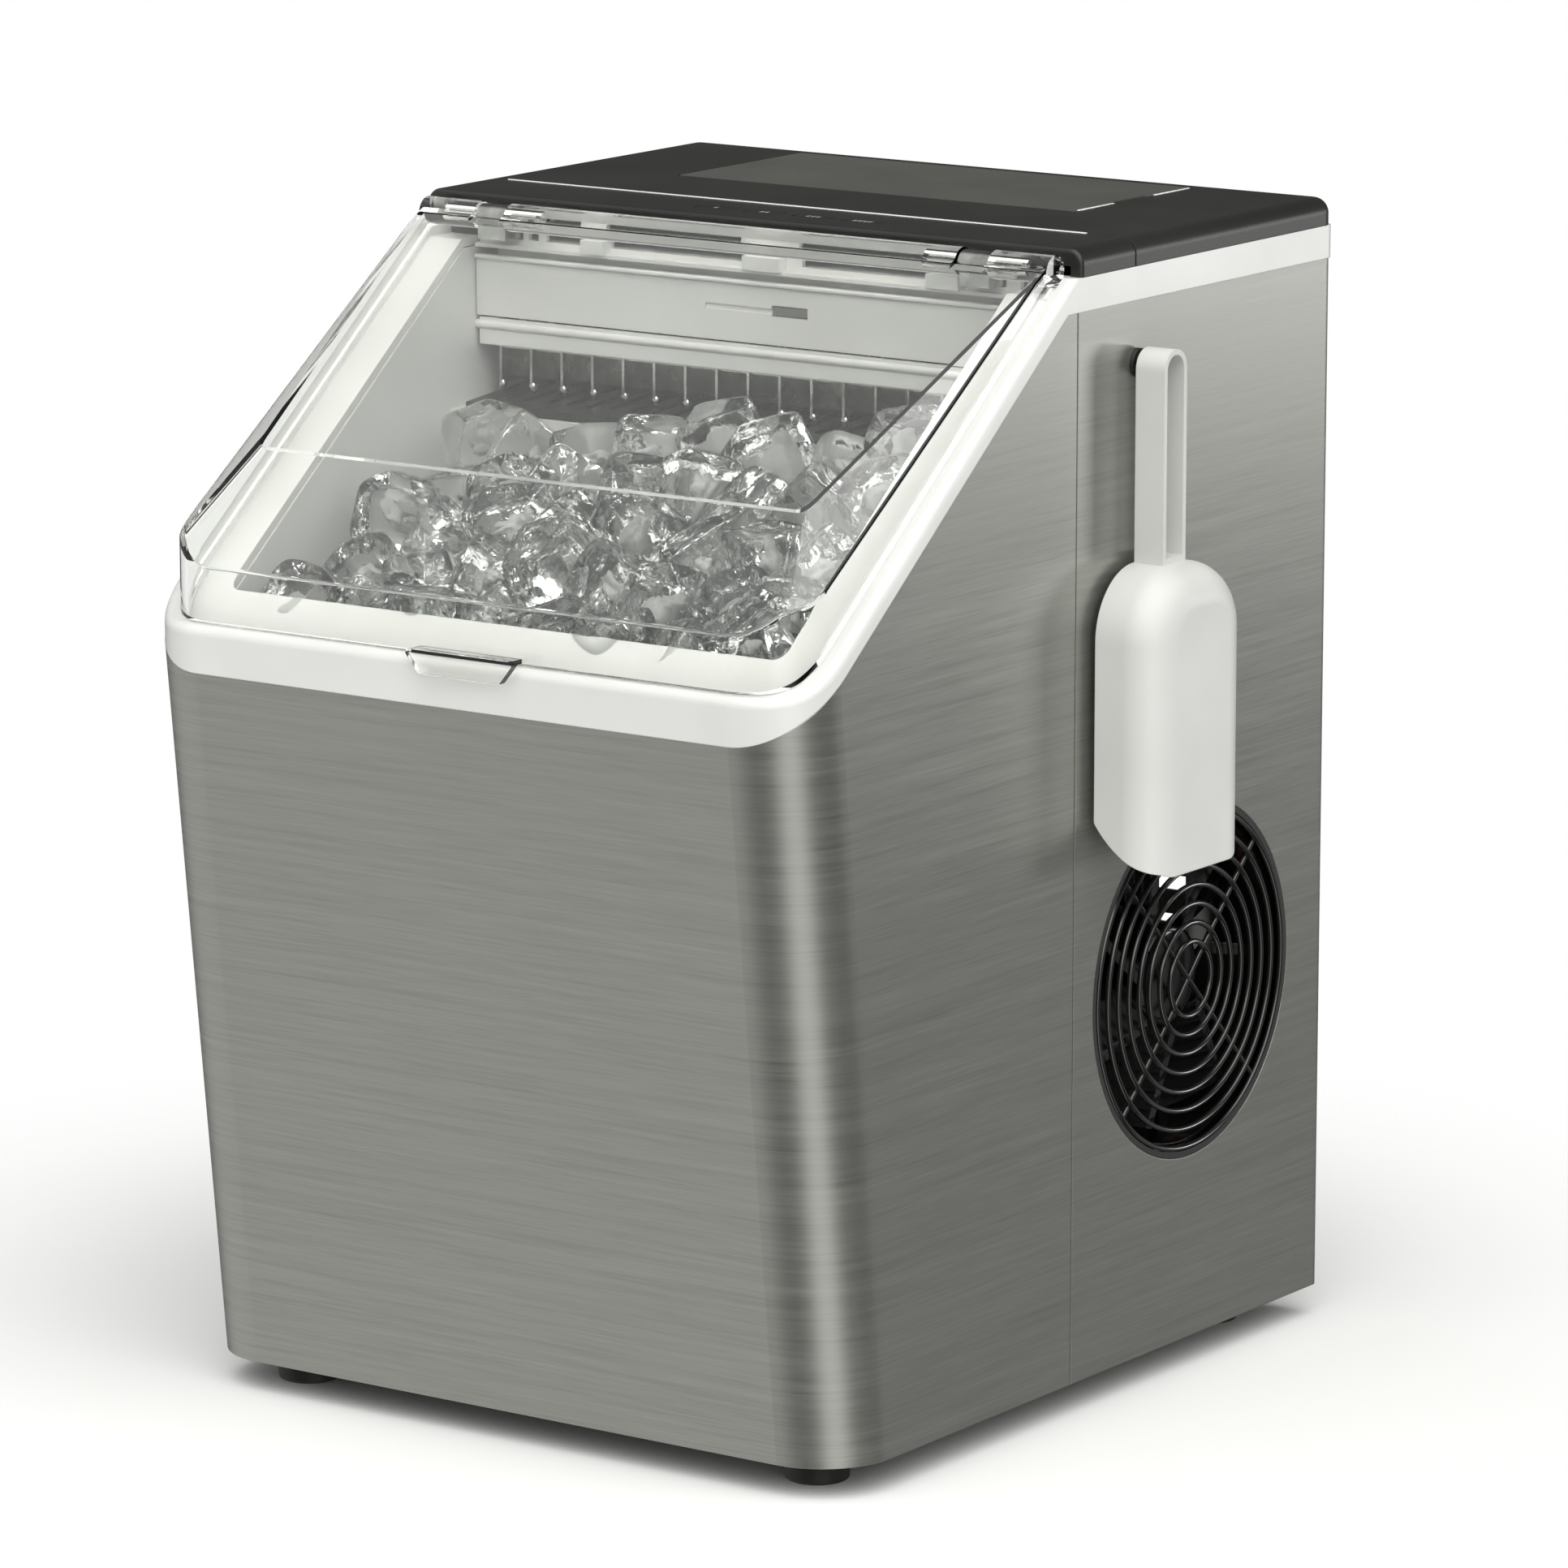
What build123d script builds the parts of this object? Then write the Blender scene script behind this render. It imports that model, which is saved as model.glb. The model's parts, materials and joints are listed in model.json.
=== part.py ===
from build123d import *
import math
import os

# Countertop ice maker, millimetres. +X is the scoop side, +Y the back, +Z up.
# The parts are drawn about the middle of the casing's plan, with the feet reaching FOOT_DROP below zero.
# They are written out about the middle of the whole outline, which the hanging scoop widens, on the feet's soles.

# ---- driving dimensions ----
WIDTH = 250.0
DEPTH = 300.0
TOTAL_HEIGHT = 365.0
FOOT_HEIGHT = 8.0            # lower edge of the casing
FOOT_DROP = 2.0              # the soles stand this far below zero
FOOT_RADIUS = 10.0
SHEET = 1.0                  # steel panels
FRONT_LEAN = 25.0            # the foot of the front panel stands this far back
CORNER_R = 25.0              # upright front corners
SLOPE_DEG = 38.0             # ice window slope
SEAM_Y = 0.0                 # joint between front wrap and rear panels
SEAM_GAP = 0.5
STEEL_TOP_Z = 345.7          # top edge of the rear side panels
SLOPE_BACK_Y = -5.8          # where the steel edge leaves the horizontal
TOP_COVER_Z = 356.2          # underside of the black top
SEAT_RISE = 5.7              # lid seat above the steel edge, square to the slope
DECK_RISE = 4.0              # deck inside the seat
FRONT_SEAT_Z = 248.0         # level part of the seat at the front
WALL = 2.2                   # moulded plastic walls

OPENING_HALF_X = 104.0       # mouth of the ice bin
OPENING_FRONT_S = 151.0      # its front edge, measured down the slope
BIN_FLOOR_Z = 42.0
BIN_BACK_Y = -14.0
LINER_WALL = 2.0

HINGE_Y = -4.8               # lid pivot
HINGE_Z = 358.4
BARREL_R = 5.0
PIN_R = 2.0
PIN_CLEARANCE = 0.05
KNUCKLE_X = 92.0
KNUCKLE_WIDTH = 12.0

LID_HALF_X = 119.5
LID_FRONT_Y = -147.0
LID_WALL = 2.5
LID_CORNER_R = 22.0
LID_WINDOW_R = 10.0
LID_SEAT_GAP = 0.6
LID_RIDGE_Y = -115.0         # front edge of the lid's flat window
LID_RIDGE_Z = 299.0
LID_RIDGE_HALF_X = 103.0
LID_SHOULDER_Y = -135.8      # front end of the lid's side edges
LID_SHOULDER_Z = 271.8
LID_BROW_Z = 266.0           # where the sloping nose meets the upright front

FAN_Y = 69.0
FAN_Z = 125.0
FAN_OPENING_R = 57.5
RING_COUNT = 8
RING_PITCH = 6.05
WIRE_R = 0.9
ROTOR_R = 49.0

EVAPORATOR_FRONT_Y = 1.5
EVAPORATOR_BOTTOM_Z = 303.0
EVAPORATOR_TOP_Z = 339.0
FIN_PITCH = 12.1
FIN_COUNT = 17

COVER_SEAM_Y = 32.0          # control strip ends here, rear top cover begins
KEY_COUNT = 4
KEY_PITCH = 18.6
KEY_FIRST_X = -21.0
KEY_Y = 15.5
KEY_SIZE = (14.0, 6.0)

FILL_HALF_X = 77.0           # fill cover in the rear top cover
FILL_FRONT_Y = 72.0
FILL_BACK_Y = 142.0

PUMP_X, PUMP_Y = 66.0, 62.0
DISTRIBUTOR_Z = 346.6        # water inlet of the distributor
DRAIN_X, DRAIN_Z = 90.0, 34.0
TANK_DRAIN_Y = 130.0
INLET_X, INLET_Z = -80.0, 45.0
COMPRESSOR_X, COMPRESSOR_Y = -55.0, 74.0
COMPRESSOR_R = 44.0
CONDENSER_X = 70.0
CONDENSER_LEVELS = (84.0, 112.0, 140.0, 168.0)
SCREW_X = 116.1              # screws along the back flanges
SCREW_LEVELS = (60.0, 190.0, 320.0)

SCOOP_Y = 34.0               # scoop centre line along the side
SCOOP_WALL_X = 127.6         # rim plane of the scoop, just off the side panel
SCOOP_DEPTH = 22.4
SCOOP_HALF_WIDTH = 27.4
SCOOP_TIP_Z = 170.0
SCOOP_NECK_Z = 265.0
SCOOP_TOP_Z = 331.5
SCOOP_WALL = 1.8
SCOOP_SHOULDER_R = 22.0
SCOOP_BRIM_R = 12.0
LOOP_HALF_WIDTH = 6.5
LOOP_DEPTH = 10.5

OUTLINE_MIDDLE_X = 12.5      # middle of the whole width, casing and hanging scoop

HALF = WIDTH / 2
FRONT = -DEPTH / 2
BACK = DEPTH / 2
SLOPE = math.radians(SLOPE_DEG)
STEEL_FRONT_Z = STEEL_TOP_Z - (SLOPE_BACK_Y - FRONT) * math.tan(SLOPE)

PARTS = {}


# ---- helpers ----
def slope_point(s, t):
    """(y, z) of a point s down the slope from the steel's top corner and t square off it."""
    y = SLOPE_BACK_Y - s * math.cos(SLOPE) - t * math.sin(SLOPE)
    z = STEEL_TOP_Z - s * math.sin(SLOPE) + t * math.cos(SLOPE)
    return y, z


def slope_y_at(z, t):
    """y where the plane t above the slope reaches height z."""
    y0, z0 = slope_point(0, t)
    return y0 - (z0 - z) / math.tan(SLOPE)


def slope_z_at(y, t):
    """z where the plane t above the slope crosses y."""
    y0, z0 = slope_point(0, t)
    return z0 - (y0 - y) * math.tan(SLOPE)


def side_prism(points, x0, x1):
    """Side outline in (y, z), carried across from x0 to x1."""
    return Pos(x0, 0, 0) * extrude(Plane.YZ * Polygon(*points, align=None), amount=x1 - x0, dir=(1, 0, 0))


def block(x0, x1, y0, y1, z0, z1):
    """Box between two corners."""
    return Pos((x0 + x1) / 2, (y0 + y1) / 2, (z0 + z1) / 2) * Box(x1 - x0, y1 - y0, z1 - z0)


def rod(start, end, radius):
    """Round bar between two points."""
    a, b = Vector(*start), Vector(*end)
    return extrude(Plane(origin=a, z_dir=b - a) * Circle(radius), amount=(b - a).length)


def tube_path(points, radii, radius, bore=0.0):
    """Round pipe along straight runs joined by arcs."""
    path = FilletPolyline(*points, radius=radii)
    start = Plane(origin=path @ 0, z_dir=path % 0)
    section = start * Circle(radius)
    if bore:
        section -= start * Circle(bore)
    return sweep(section, path=path)


def upright_front_edges(shape, inset=0.0):
    """The long edges at the two front corners."""
    found = []
    for edge in shape.edges():
        middle = edge @ 0.5
        along = edge % 0.5
        if middle.Y < FRONT + FRONT_LEAN + inset + 5 and abs(along.Z) > 0.9 and edge.length > 10:
            found.append(edge)
    return found


def steel_form(inset, top_rise, floor_z=FOOT_HEIGHT, back_y=BACK):
    """Solid inside the steel outline: inset on front and sides, cut top_rise above the slope."""
    lean = FRONT_LEAN / (STEEL_FRONT_Z - FOOT_HEIGHT)
    shift = inset * math.sqrt(1 + lean * lean)
    top_y = FRONT + shift
    foot_y = FRONT + FRONT_LEAN + shift
    meet = lean * math.tan(SLOPE)
    front_z = (slope_z_at(top_y, top_rise) + STEEL_FRONT_Z * meet) / (1 + meet)
    rear_z = STEEL_TOP_Z + top_rise
    bend_y = slope_y_at(rear_z, top_rise)
    outline = [
        (foot_y - (floor_z - FOOT_HEIGHT) * lean, floor_z),
        (back_y, floor_z),
        (back_y, rear_z),
        (bend_y, rear_z),
        (top_y - (front_z - STEEL_FRONT_Z) * lean, front_z),
    ]
    form = side_prism(outline, -HALF + inset, HALF - inset)
    return fillet(upright_front_edges(form, inset), max(CORNER_R - inset, 3.0))


def plan_prism(half_x, front_y, back_y, front_radius, back_radius):
    """Tall block with rounded upright corners."""
    form = block(-half_x, half_x, front_y, back_y, -20, 420)
    form = fillet([e for e in form.edges().filter_by(Axis.Z) if e.center().Y < front_y + 1], front_radius)
    return fillet([e for e in form.edges().filter_by(Axis.Z) if e.center().Y > back_y - 1], back_radius)


def drill(shape, places, radius, axis):
    """Cuts round holes through a shape, at places, along axis."""
    for place in places:
        hole = extrude(Plane(origin=place, z_dir=axis) * Circle(radius), amount=30, both=True)
        shape -= hole
    return shape


def keep(name, shape):
    """Registers one sub-part under its node name."""
    PARTS[name] = shape


# ---- outer casing ----
def make_front_panel():
    """Brushed wrap: leaning front with the front half of both sides."""
    outer = steel_form(0.4, 0.0, back_y=SEAM_Y)
    inner = steel_form(0.4 + SHEET, 30.0, floor_z=FOOT_HEIGHT - 5, back_y=SEAM_Y + 5)
    return outer - inner


def slot_cutter(centre, length, width, along, through):
    """Round-ended slot, long way along one axis, cut through another."""
    outline = Plane(origin=centre, x_dir=along, z_dir=through) * SlotOverall(length, width)
    return extrude(outline, amount=15, both=True)


def make_side_panel(side):
    """Rear side panel, rolled round the back corner. side is +1 or -1."""
    outer_x = HALF - 0.4
    y0 = SEAM_Y + SEAM_GAP
    y1 = BACK - 0.5
    panel = block(outer_x - SHEET, outer_x, y0, y1, FOOT_HEIGHT, STEEL_TOP_Z)
    panel += block(outer_x - 14, outer_x, y1 - SHEET, y1, FOOT_HEIGHT, STEEL_TOP_Z)
    uprights = panel.edges().filter_by(Axis.Z)
    panel = fillet([e for e in uprights if abs(e.center().X - outer_x + SHEET) < 0.1
                    and abs(e.center().Y - y1 + SHEET) < 0.1], 3.0)
    uprights = panel.edges().filter_by(Axis.Z)
    panel = fillet([e for e in uprights if e.center().X > outer_x - 0.1 and e.center().Y > y1 - 0.1], 4.0)
    for level in SCREW_LEVELS:
        panel = drill(panel, [(outer_x - 8.5, y1 - 2, level)], 1.6, (0, 1, 0))
    if side > 0:
        panel -= Pos(outer_x, FAN_Y, FAN_Z) * Rot(0, 90, 0) * Cylinder(FAN_OPENING_R, 8)
        return panel
    for row in range(7):
        for column in range(2):
            centre = (outer_x, FAN_Y - 30 + column * 60, FAN_Z - 45 + row * 15)
            panel -= slot_cutter(centre, 44, 5, (0, 1, 0), (1, 0, 0))
    return mirror(panel, about=Plane.YZ)


def make_rear_panel():
    """Flat back with vents, held inside the side panels' flanges."""
    panel = block(-121, 121, 147.2, 148.3, 9, 345)
    for row in range(9):
        for column in range(3):
            centre = (-30 + column * 55, 148, 70 + row * 13)
            panel -= slot_cutter(centre, 44, 5, (1, 0, 0), (0, 1, 0))
    panel -= block(INLET_X - 14, INLET_X + 14, 140, 155, INLET_Z - 10, INLET_Z + 10)
    panel = drill(panel, [(DRAIN_X, 148, DRAIN_Z)], 7.2, (0, 1, 0))
    sites = [(x, 148, z) for x in (-SCREW_X, SCREW_X) for z in SCREW_LEVELS]
    return drill(panel, sites, 1.6, (0, 1, 0))


def make_panel_screws():
    """Six pan-head screws along the back flanges."""
    screws = []
    for x in (-SCREW_X, SCREW_X):
        for z in SCREW_LEVELS:
            shank = rod((x, 141, z), (x, 149.6, z), 1.5)
            head = Pos(x, 150.5, z) * Rot(90, 0, 0) * Cylinder(3.1, 1.8)
            head -= block(x - 0.4, x + 0.4, 150.8, 152, z - 2.2, z + 2.2)
            head -= block(x - 2.2, x + 2.2, 150.8, 152, z - 0.4, z + 0.4)
            screws.append(shank + head)
    return Compound(children=screws)


def make_base_pan():
    """Moulded floor tray with upturned edges and compressor seats."""
    outer = steel_form(1.8, 0.0, floor_z=8.6, back_y=BACK - 3.0)
    inner = steel_form(3.8, 0.0, floor_z=11.2, back_y=BACK - 5.0)
    tray = (outer & block(-130, 130, -160, 160, 0, 22)) - inner
    for x, y in foot_places():
        tray += Pos(x, y, 14) * Cylinder(7, 8)
        tray = drill(tray, [(x, y, 10)], 1.7, (0, 0, 1))
    for row in range(5):
        tray -= slot_cutter((20, 40 + row * 18, 10), 70, 5, (1, 0, 0), (0, 0, 1))
    return tray


def foot_places():
    """Plan positions of the four feet."""
    return [(-98, FRONT + FRONT_LEAN + 25), (98, FRONT + FRONT_LEAN + 25), (-98, 123), (98, 123)]


def make_foot(x, y):
    """Rubber foot, tapered, hollow under its screw."""
    foot = Pos(x, y, 4.3 - FOOT_DROP / 2) * Cylinder(FOOT_RADIUS, 8.6 + FOOT_DROP)
    foot = fillet(foot.edges().sort_by(Axis.Z)[0], 1.2)
    foot -= Pos(x, y, 5) * Cylinder(1.7, 12)
    return foot - Pos(x, y, 1.5 - FOOT_DROP / 2) * Cylinder(4.2, 3.0 + FOOT_DROP)


def make_foot_screws():
    """Screws that hold the feet to the base pan."""
    screws = []
    for x, y in foot_places():
        screws.append(rod((x, y, 3.0), (x, y, 17.0), 1.6) + rod((x, y, 1.2), (x, y, 3.0), 3.6))
    return Compound(children=screws)


# ---- white housing and bin ----
def under_slope(rise, front=-175.0, back=BACK + 5):
    """Everything below a surface that runs rise above the steel's top edge."""
    rear_z = STEEL_TOP_Z + rise
    return side_prism(
        [(back, -30), (back, rear_z), (slope_y_at(rear_z, rise), rear_z),
         (front, slope_z_at(front, rise)), (front, -30)], -140, 140)


def seat_outline(rise, level_z, top_z, front):
    """Side outline of the lid seat: top, slope, level front."""
    return [(front, level_z), (slope_y_at(level_z, rise), level_z), (slope_y_at(top_z, rise), top_z)]


def foot_of_slope(body):
    """The edge where the sloping seat meets its level front."""
    return [e for e in body.edges().filter_by(Axis.X)
            if abs(e.center().Z - FRONT_SEAT_Z) < 0.1 and e.center().Y > FRONT + 1]


def make_top_housing():
    """White moulding round the bin mouth, with the lid seat and the band under the black top."""
    outline = [(BACK, STEEL_TOP_Z), (SLOPE_BACK_Y, STEEL_TOP_Z), (FRONT, STEEL_FRONT_Z)]
    outline += seat_outline(SEAT_RISE, FRONT_SEAT_Z, TOP_COVER_Z, FRONT)
    outline += [(BACK, TOP_COVER_Z)]
    body = side_prism(outline, -HALF, HALF)
    body = fillet(foot_of_slope(body), 22.0)
    body &= plan_prism(HALF, FRONT, BACK, CORNER_R, 4.0)
    body = fillet(seat_rim_edges(body), 3.0)
    tuck = steel_form(1.6, 2.0) & (under_slope(2.0) - under_slope(-8.0))
    body += tuck & block(-130, 130, -160, SEAM_Y + 140, 0, 400)
    hollow = steel_form(3.8, 1.5, floor_z=0) & under_slope(1.5)
    body -= hollow
    recess = block(-116.5, 116.5, FRONT + 5.5, 4, 150, 400)
    recess = fillet([e for e in recess.edges().filter_by(Axis.Z) if e.center().Y < 0], 19.5)
    body -= recess - under_slope(DECK_RISE)
    mouth_y = slope_point(OPENING_FRONT_S, DECK_RISE)[0]
    mouth = block(-OPENING_HALF_X, OPENING_HALF_X, mouth_y, 10, 0, 400)
    mouth = fillet([e for e in mouth.edges().filter_by(Axis.Z) if e.center().Y < 0], 4.0)
    body -= mouth
    body -= Pos(0, HINGE_Y, HINGE_Z) * Rot(0, 90, 0) * Cylinder(BARREL_R + 0.6, 2 * LID_HALF_X + 1.2)
    return body - block(-121, 121, 4, 146, 0, 400)


def seat_rim_edges(body):
    """The outline of the seat, seen from above, in front of the black top."""
    top_y = slope_y_at(TOP_COVER_Z, SEAT_RISE)
    found = []
    for edge in body.edges():
        middle = edge @ 0.5
        slope_z = slope_z_at(middle.Y, SEAT_RISE)
        seat_z = max(slope_z, FRONT_SEAT_Z)
        on_rim = abs(abs(middle.X) - HALF) < 8 or middle.Y < FRONT + 0.1
        if on_rim and middle.Y < top_y - 1 and -0.2 < middle.Z - seat_z < 4.5:
            found.append(edge)
    return found


def make_bin_liner():
    """Inner tub of the ice bin with the ice-making alcove behind it."""
    outer = steel_form(19.4, 1.2, floor_z=40) & block(-130, 130, -160, BIN_BACK_Y + LINER_WALL, 0, 400)
    outer += block(-105.6, 105.6, BIN_BACK_Y, 30, 294, STEEL_TOP_Z + 1.2) & under_slope(1.2)
    inner = steel_form(21.4, 30, floor_z=BIN_FLOOR_Z) & block(-130, 130, -160, BIN_BACK_Y, 0, 400)
    inner += block(-103.6, 103.6, BIN_BACK_Y - 1, 28, 296, 400)
    liner = outer - inner
    liner -= block(-97, 97, -8, 26, 290, 297)
    liner -= block(-103.6, 103.6, 20, 40, 338, 400)
    liner = drill(liner, [(-85, 29, 332)], 4.5, (0, 1, 0))
    return drill(liner, [(x, 0.3, 321.8) for x in (-104.6, 104.6)], 1.56, (1, 0, 0))


def make_bin_insulation():
    """Foam tub between the liner and the steel."""
    outer = steel_form(4.2, -9.0, floor_z=24) & block(-130, 130, -160, 1.0, 0, 293.7)
    inner = steel_form(19.1, 30, floor_z=39.7) & block(-130, 130, -160, BIN_BACK_Y + LINER_WALL + 0.3, 0, 400)
    return outer - inner


def make_ice_basket():
    """Open basket that stands in the bin, slotted so that melt runs out."""
    outer = steel_form(23.0, -34.0, floor_z=BIN_FLOOR_Z + 0.2) & block(-130, 130, -160, BIN_BACK_Y - 1.5, 0, 240)
    inner = steel_form(24.6, 0.0, floor_z=BIN_FLOOR_Z + 1.8) & block(-130, 130, -160, BIN_BACK_Y - 3.1, 0, 400)
    basket = outer - inner
    for row in range(7):
        basket -= slot_cutter((0, -92 + row * 11, BIN_FLOOR_Z), 150, 4, (1, 0, 0), (0, 0, 1))
    for column in range(9):
        basket -= slot_cutter((-80 + column * 20, BIN_BACK_Y - 2, 120), 90, 5, (0, 0, 1), (0, 1, 0))
    return basket


# ---- black top ----
def make_control_panel():
    """Black strip behind the lid with the key holes and board posts."""
    y0, y1 = 1.5, COVER_SEAM_Y - 0.3
    strip = block(-HALF, HALF, y0, y1, TOP_COVER_Z, TOTAL_HEIGHT)
    ends = [e for e in strip.edges().filter_by(Axis.Y) if e.center().Z > TOTAL_HEIGHT - 1]
    strip = fillet(ends, 5.0)
    brow = [e for e in strip.edges() if (e @ 0.5).Y < y0 + 0.1 and (e @ 0.5).Z > TOP_COVER_Z + 1
            and abs((e % 0.5).Y) < 0.5]
    strip = fillet([e for e in brow if (e @ 0.5).Z > TOTAL_HEIGHT - 4 or abs((e @ 0.5).X) < 100], 1.5)
    strip -= block(-121, 121, y0 + 2, y1 - 1.5, 0, TOTAL_HEIGHT - WALL)
    strip -= block(-121, 121, 0, y0 + 3, 0, 359.5)
    for index in range(KEY_COUNT):
        x = KEY_FIRST_X + index * KEY_PITCH
        hole = block(x - KEY_SIZE[0] / 2, x + KEY_SIZE[0] / 2, KEY_Y - KEY_SIZE[1] / 2, KEY_Y + KEY_SIZE[1] / 2, 340, 380)
        strip -= fillet(hole.edges().filter_by(Axis.Z), 1.4)
    for x in (-44, 58):
        strip += block(x - 2.5, x + 2.5, 22, 27, 353.7, TOTAL_HEIGHT - WALL)
    return strip


def make_key(index):
    """One push key with its stem."""
    x = KEY_FIRST_X + index * KEY_PITCH
    gap = 0.35
    cap = block(x - KEY_SIZE[0] / 2 + gap, x + KEY_SIZE[0] / 2 - gap, KEY_Y - KEY_SIZE[1] / 2 + gap,
                KEY_Y + KEY_SIZE[1] / 2 - gap, 361.2, TOTAL_HEIGHT)
    cap = fillet(cap.edges().filter_by(Axis.Z), 1.1)
    cap = fillet(cap.edges().filter_by(Plane.XY).sort_by(Axis.Z)[-8:], 0.25)
    return cap + Pos(x, KEY_Y, 360.2) * Cylinder(1.6, 2.2)


def make_control_board():
    """Key board with one tact switch under each key."""
    board = block(-48, 62, 7, 29, 352.0, 353.6)
    for index in range(KEY_COUNT):
        x = KEY_FIRST_X + index * KEY_PITCH
        board += block(x - 3, x + 3, KEY_Y - 3, KEY_Y + 3, 353.6, 356.6)
        board += Pos(x, KEY_Y, 357.2) * Cylinder(1.6, 1.4)
    return board


def make_top_cover():
    """Black rear cover with the rebated mouth for the fill cover."""
    y0 = COVER_SEAM_Y + 0.3
    cover = block(-HALF, HALF, y0, BACK, TOP_COVER_Z, TOTAL_HEIGHT)
    cover = fillet([e for e in cover.edges().filter_by(Axis.Z) if e.center().Y > BACK - 1], 6.0)
    crown = [e for e in cover.edges() if (e @ 0.5).Z > TOTAL_HEIGHT - 0.1 and (e @ 0.5).Y > y0 + 1]
    cover = fillet(crown, 5.0)
    cover -= block(-121, 121, y0 + 2, BACK - 4, 0, TOTAL_HEIGHT - WALL)
    rebate_z = TOTAL_HEIGHT - 2.9
    frame = block(-FILL_HALF_X - 3, FILL_HALF_X + 3, FILL_FRONT_Y - 3, FILL_BACK_Y + 3, rebate_z - 2, TOTAL_HEIGHT - 1)
    cover += frame
    cover -= block(-FILL_HALF_X, FILL_HALF_X, FILL_FRONT_Y, FILL_BACK_Y, rebate_z, TOTAL_HEIGHT + 1)
    return cover - block(-71, 71, 79, 135, 300, TOTAL_HEIGHT + 1)


def make_fill_cover():
    """Smoked lift-out cover over the water filler, with a finger notch."""
    gap = 0.4
    plate = block(-FILL_HALF_X + gap, FILL_HALF_X - gap, FILL_FRONT_Y + gap, FILL_BACK_Y - gap,
                  TOTAL_HEIGHT - 2.6, TOTAL_HEIGHT)
    plate = fillet(plate.edges().filter_by(Axis.Z), 1.5)
    middle_y = (FILL_FRONT_Y + FILL_BACK_Y) / 2
    notch = block(FILL_HALF_X - 3.0, FILL_HALF_X + 3, middle_y - 11, middle_y + 11, 350, 380)
    plate -= fillet(notch.edges().filter_by(Axis.Z).sort_by(Axis.X)[:2], 2.0)
    rim = block(-70, 70, 80, 134, TOTAL_HEIGHT - 5.5, TOTAL_HEIGHT - 2.6)
    rim -= block(-68.4, 68.4, 81.6, 132.4, 300, TOTAL_HEIGHT)
    return plate + rim


# ---- lid ----
def lid_form(inset):
    """Closed wedge of the lid, every face moved in by inset."""
    nose = [(HINGE_Y + 0.5, HINGE_Z + 5.0), (LID_RIDGE_Y, LID_RIDGE_Z), (LID_FRONT_Y, LID_BROW_Z)]
    form = block(-LID_HALF_X + inset, LID_HALF_X - inset, LID_FRONT_Y + inset, HINGE_Y, 200, 400)
    for (ya, za), (yb, zb) in zip(nose, nose[1:]):
        form = cut_above(form, (0, ya, za), (1, 0, 0), (0, ya - yb, za - zb), inset)
    edge = (0, HINGE_Y - LID_SHOULDER_Y, HINGE_Z + 5.0 - LID_SHOULDER_Z)
    for side in (-1, 1):
        corner = (side * LID_HALF_X, LID_SHOULDER_Y, LID_SHOULDER_Z)
        rise = (side * (LID_RIDGE_HALF_X - LID_HALF_X), LID_RIDGE_Y - LID_SHOULDER_Y, LID_RIDGE_Z - LID_SHOULDER_Z)
        form = cut_above(form, corner, rise, edge, inset)
    uprights = [e for e in form.edges().filter_by(Axis.Z) if e.center().Y < LID_FRONT_Y + inset + 1]
    form = fillet(uprights, LID_CORNER_R - inset)
    return fillet(window_corner_edges(form), LID_WINDOW_R - inset)


def cut_above(form, point, along, across, inset):
    """Cuts off what lies above the plane through point that holds both directions."""
    normal = Vector(*along).cross(Vector(*across)).normalized()
    if normal.Z < 0:
        normal = normal * -1
    origin = Vector(*point) - normal * inset
    return split(form, bisect_by=Plane(origin=origin, z_dir=normal), keep=Keep.BOTTOM)


def window_corner_edges(form):
    """The two short ridges between the nose and the side bevels."""
    found = []
    for edge in form.edges().filter_by(GeomType.LINE):
        middle, along = edge @ 0.5, edge % 0.5
        between = LID_BROW_Z < middle.Z < LID_RIDGE_Z and abs(middle.X) > LID_RIDGE_HALF_X
        if between and abs(along.Y) > 0.2 and edge.length < 60 and abs(along.X) > 0.1:
            found.append(edge)
    return found


def lid_outline_edges(form):
    """The outline of the lid's top, where it turns down into the upright walls."""
    found = []
    for edge in form.edges():
        middle, along = edge @ 0.5, edge % 0.5
        at_side = abs(abs(middle.X) - LID_HALF_X) < 0.1 and middle.Y < HINGE_Y - 1
        at_front = middle.Y < LID_SHOULDER_Y + 15 and middle.Z > 255 and edge.length > 5
        on_wall = at_side or abs(middle.Y - LID_FRONT_Y) < 0.1 or edge.geom_type == GeomType.ELLIPSE
        if middle.Z > 255 and on_wall and abs(along.Z) < 0.95 and (at_side or at_front):
            found.append(edge)
    return found


def make_lid():
    """Clear hinged lid with its rolled hinge barrel."""
    shell = lid_form(0.0)
    shell = fillet(lid_outline_edges(shell), 2.0)
    shell -= lid_form(LID_WALL)
    seat = seat_outline(SEAT_RISE, FRONT_SEAT_Z, TOP_COVER_Z, FRONT - 20)
    below = side_prism([(FRONT - 20, 0), *seat, (40, TOP_COVER_Z), (40, 0)], -140, 140)
    below = fillet(foot_of_slope(below), 22.0)
    shell -= Pos(0, 0, LID_SEAT_GAP) * below
    barrel = Pos(0, HINGE_Y, HINGE_Z) * Rot(0, 90, 0) * Cylinder(BARREL_R, 2 * LID_HALF_X)
    shell -= barrel
    shell = largest(shell) + barrel
    for side in (-1, 1):
        x = side * KNUCKLE_X
        shell -= block(x - KNUCKLE_WIDTH / 2, x + KNUCKLE_WIDTH / 2, HINGE_Y - 7, HINGE_Y + 8, HINGE_Z - 9, HINGE_Z + 9)
    pin_bore = Rot(0, 90, 0) * Cylinder(PIN_R + PIN_CLEARANCE, 38)
    for side in (-1, 1):
        shell -= Pos(side * KNUCKLE_X, HINGE_Y, HINGE_Z) * pin_bore
    return largest(shell)


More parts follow.
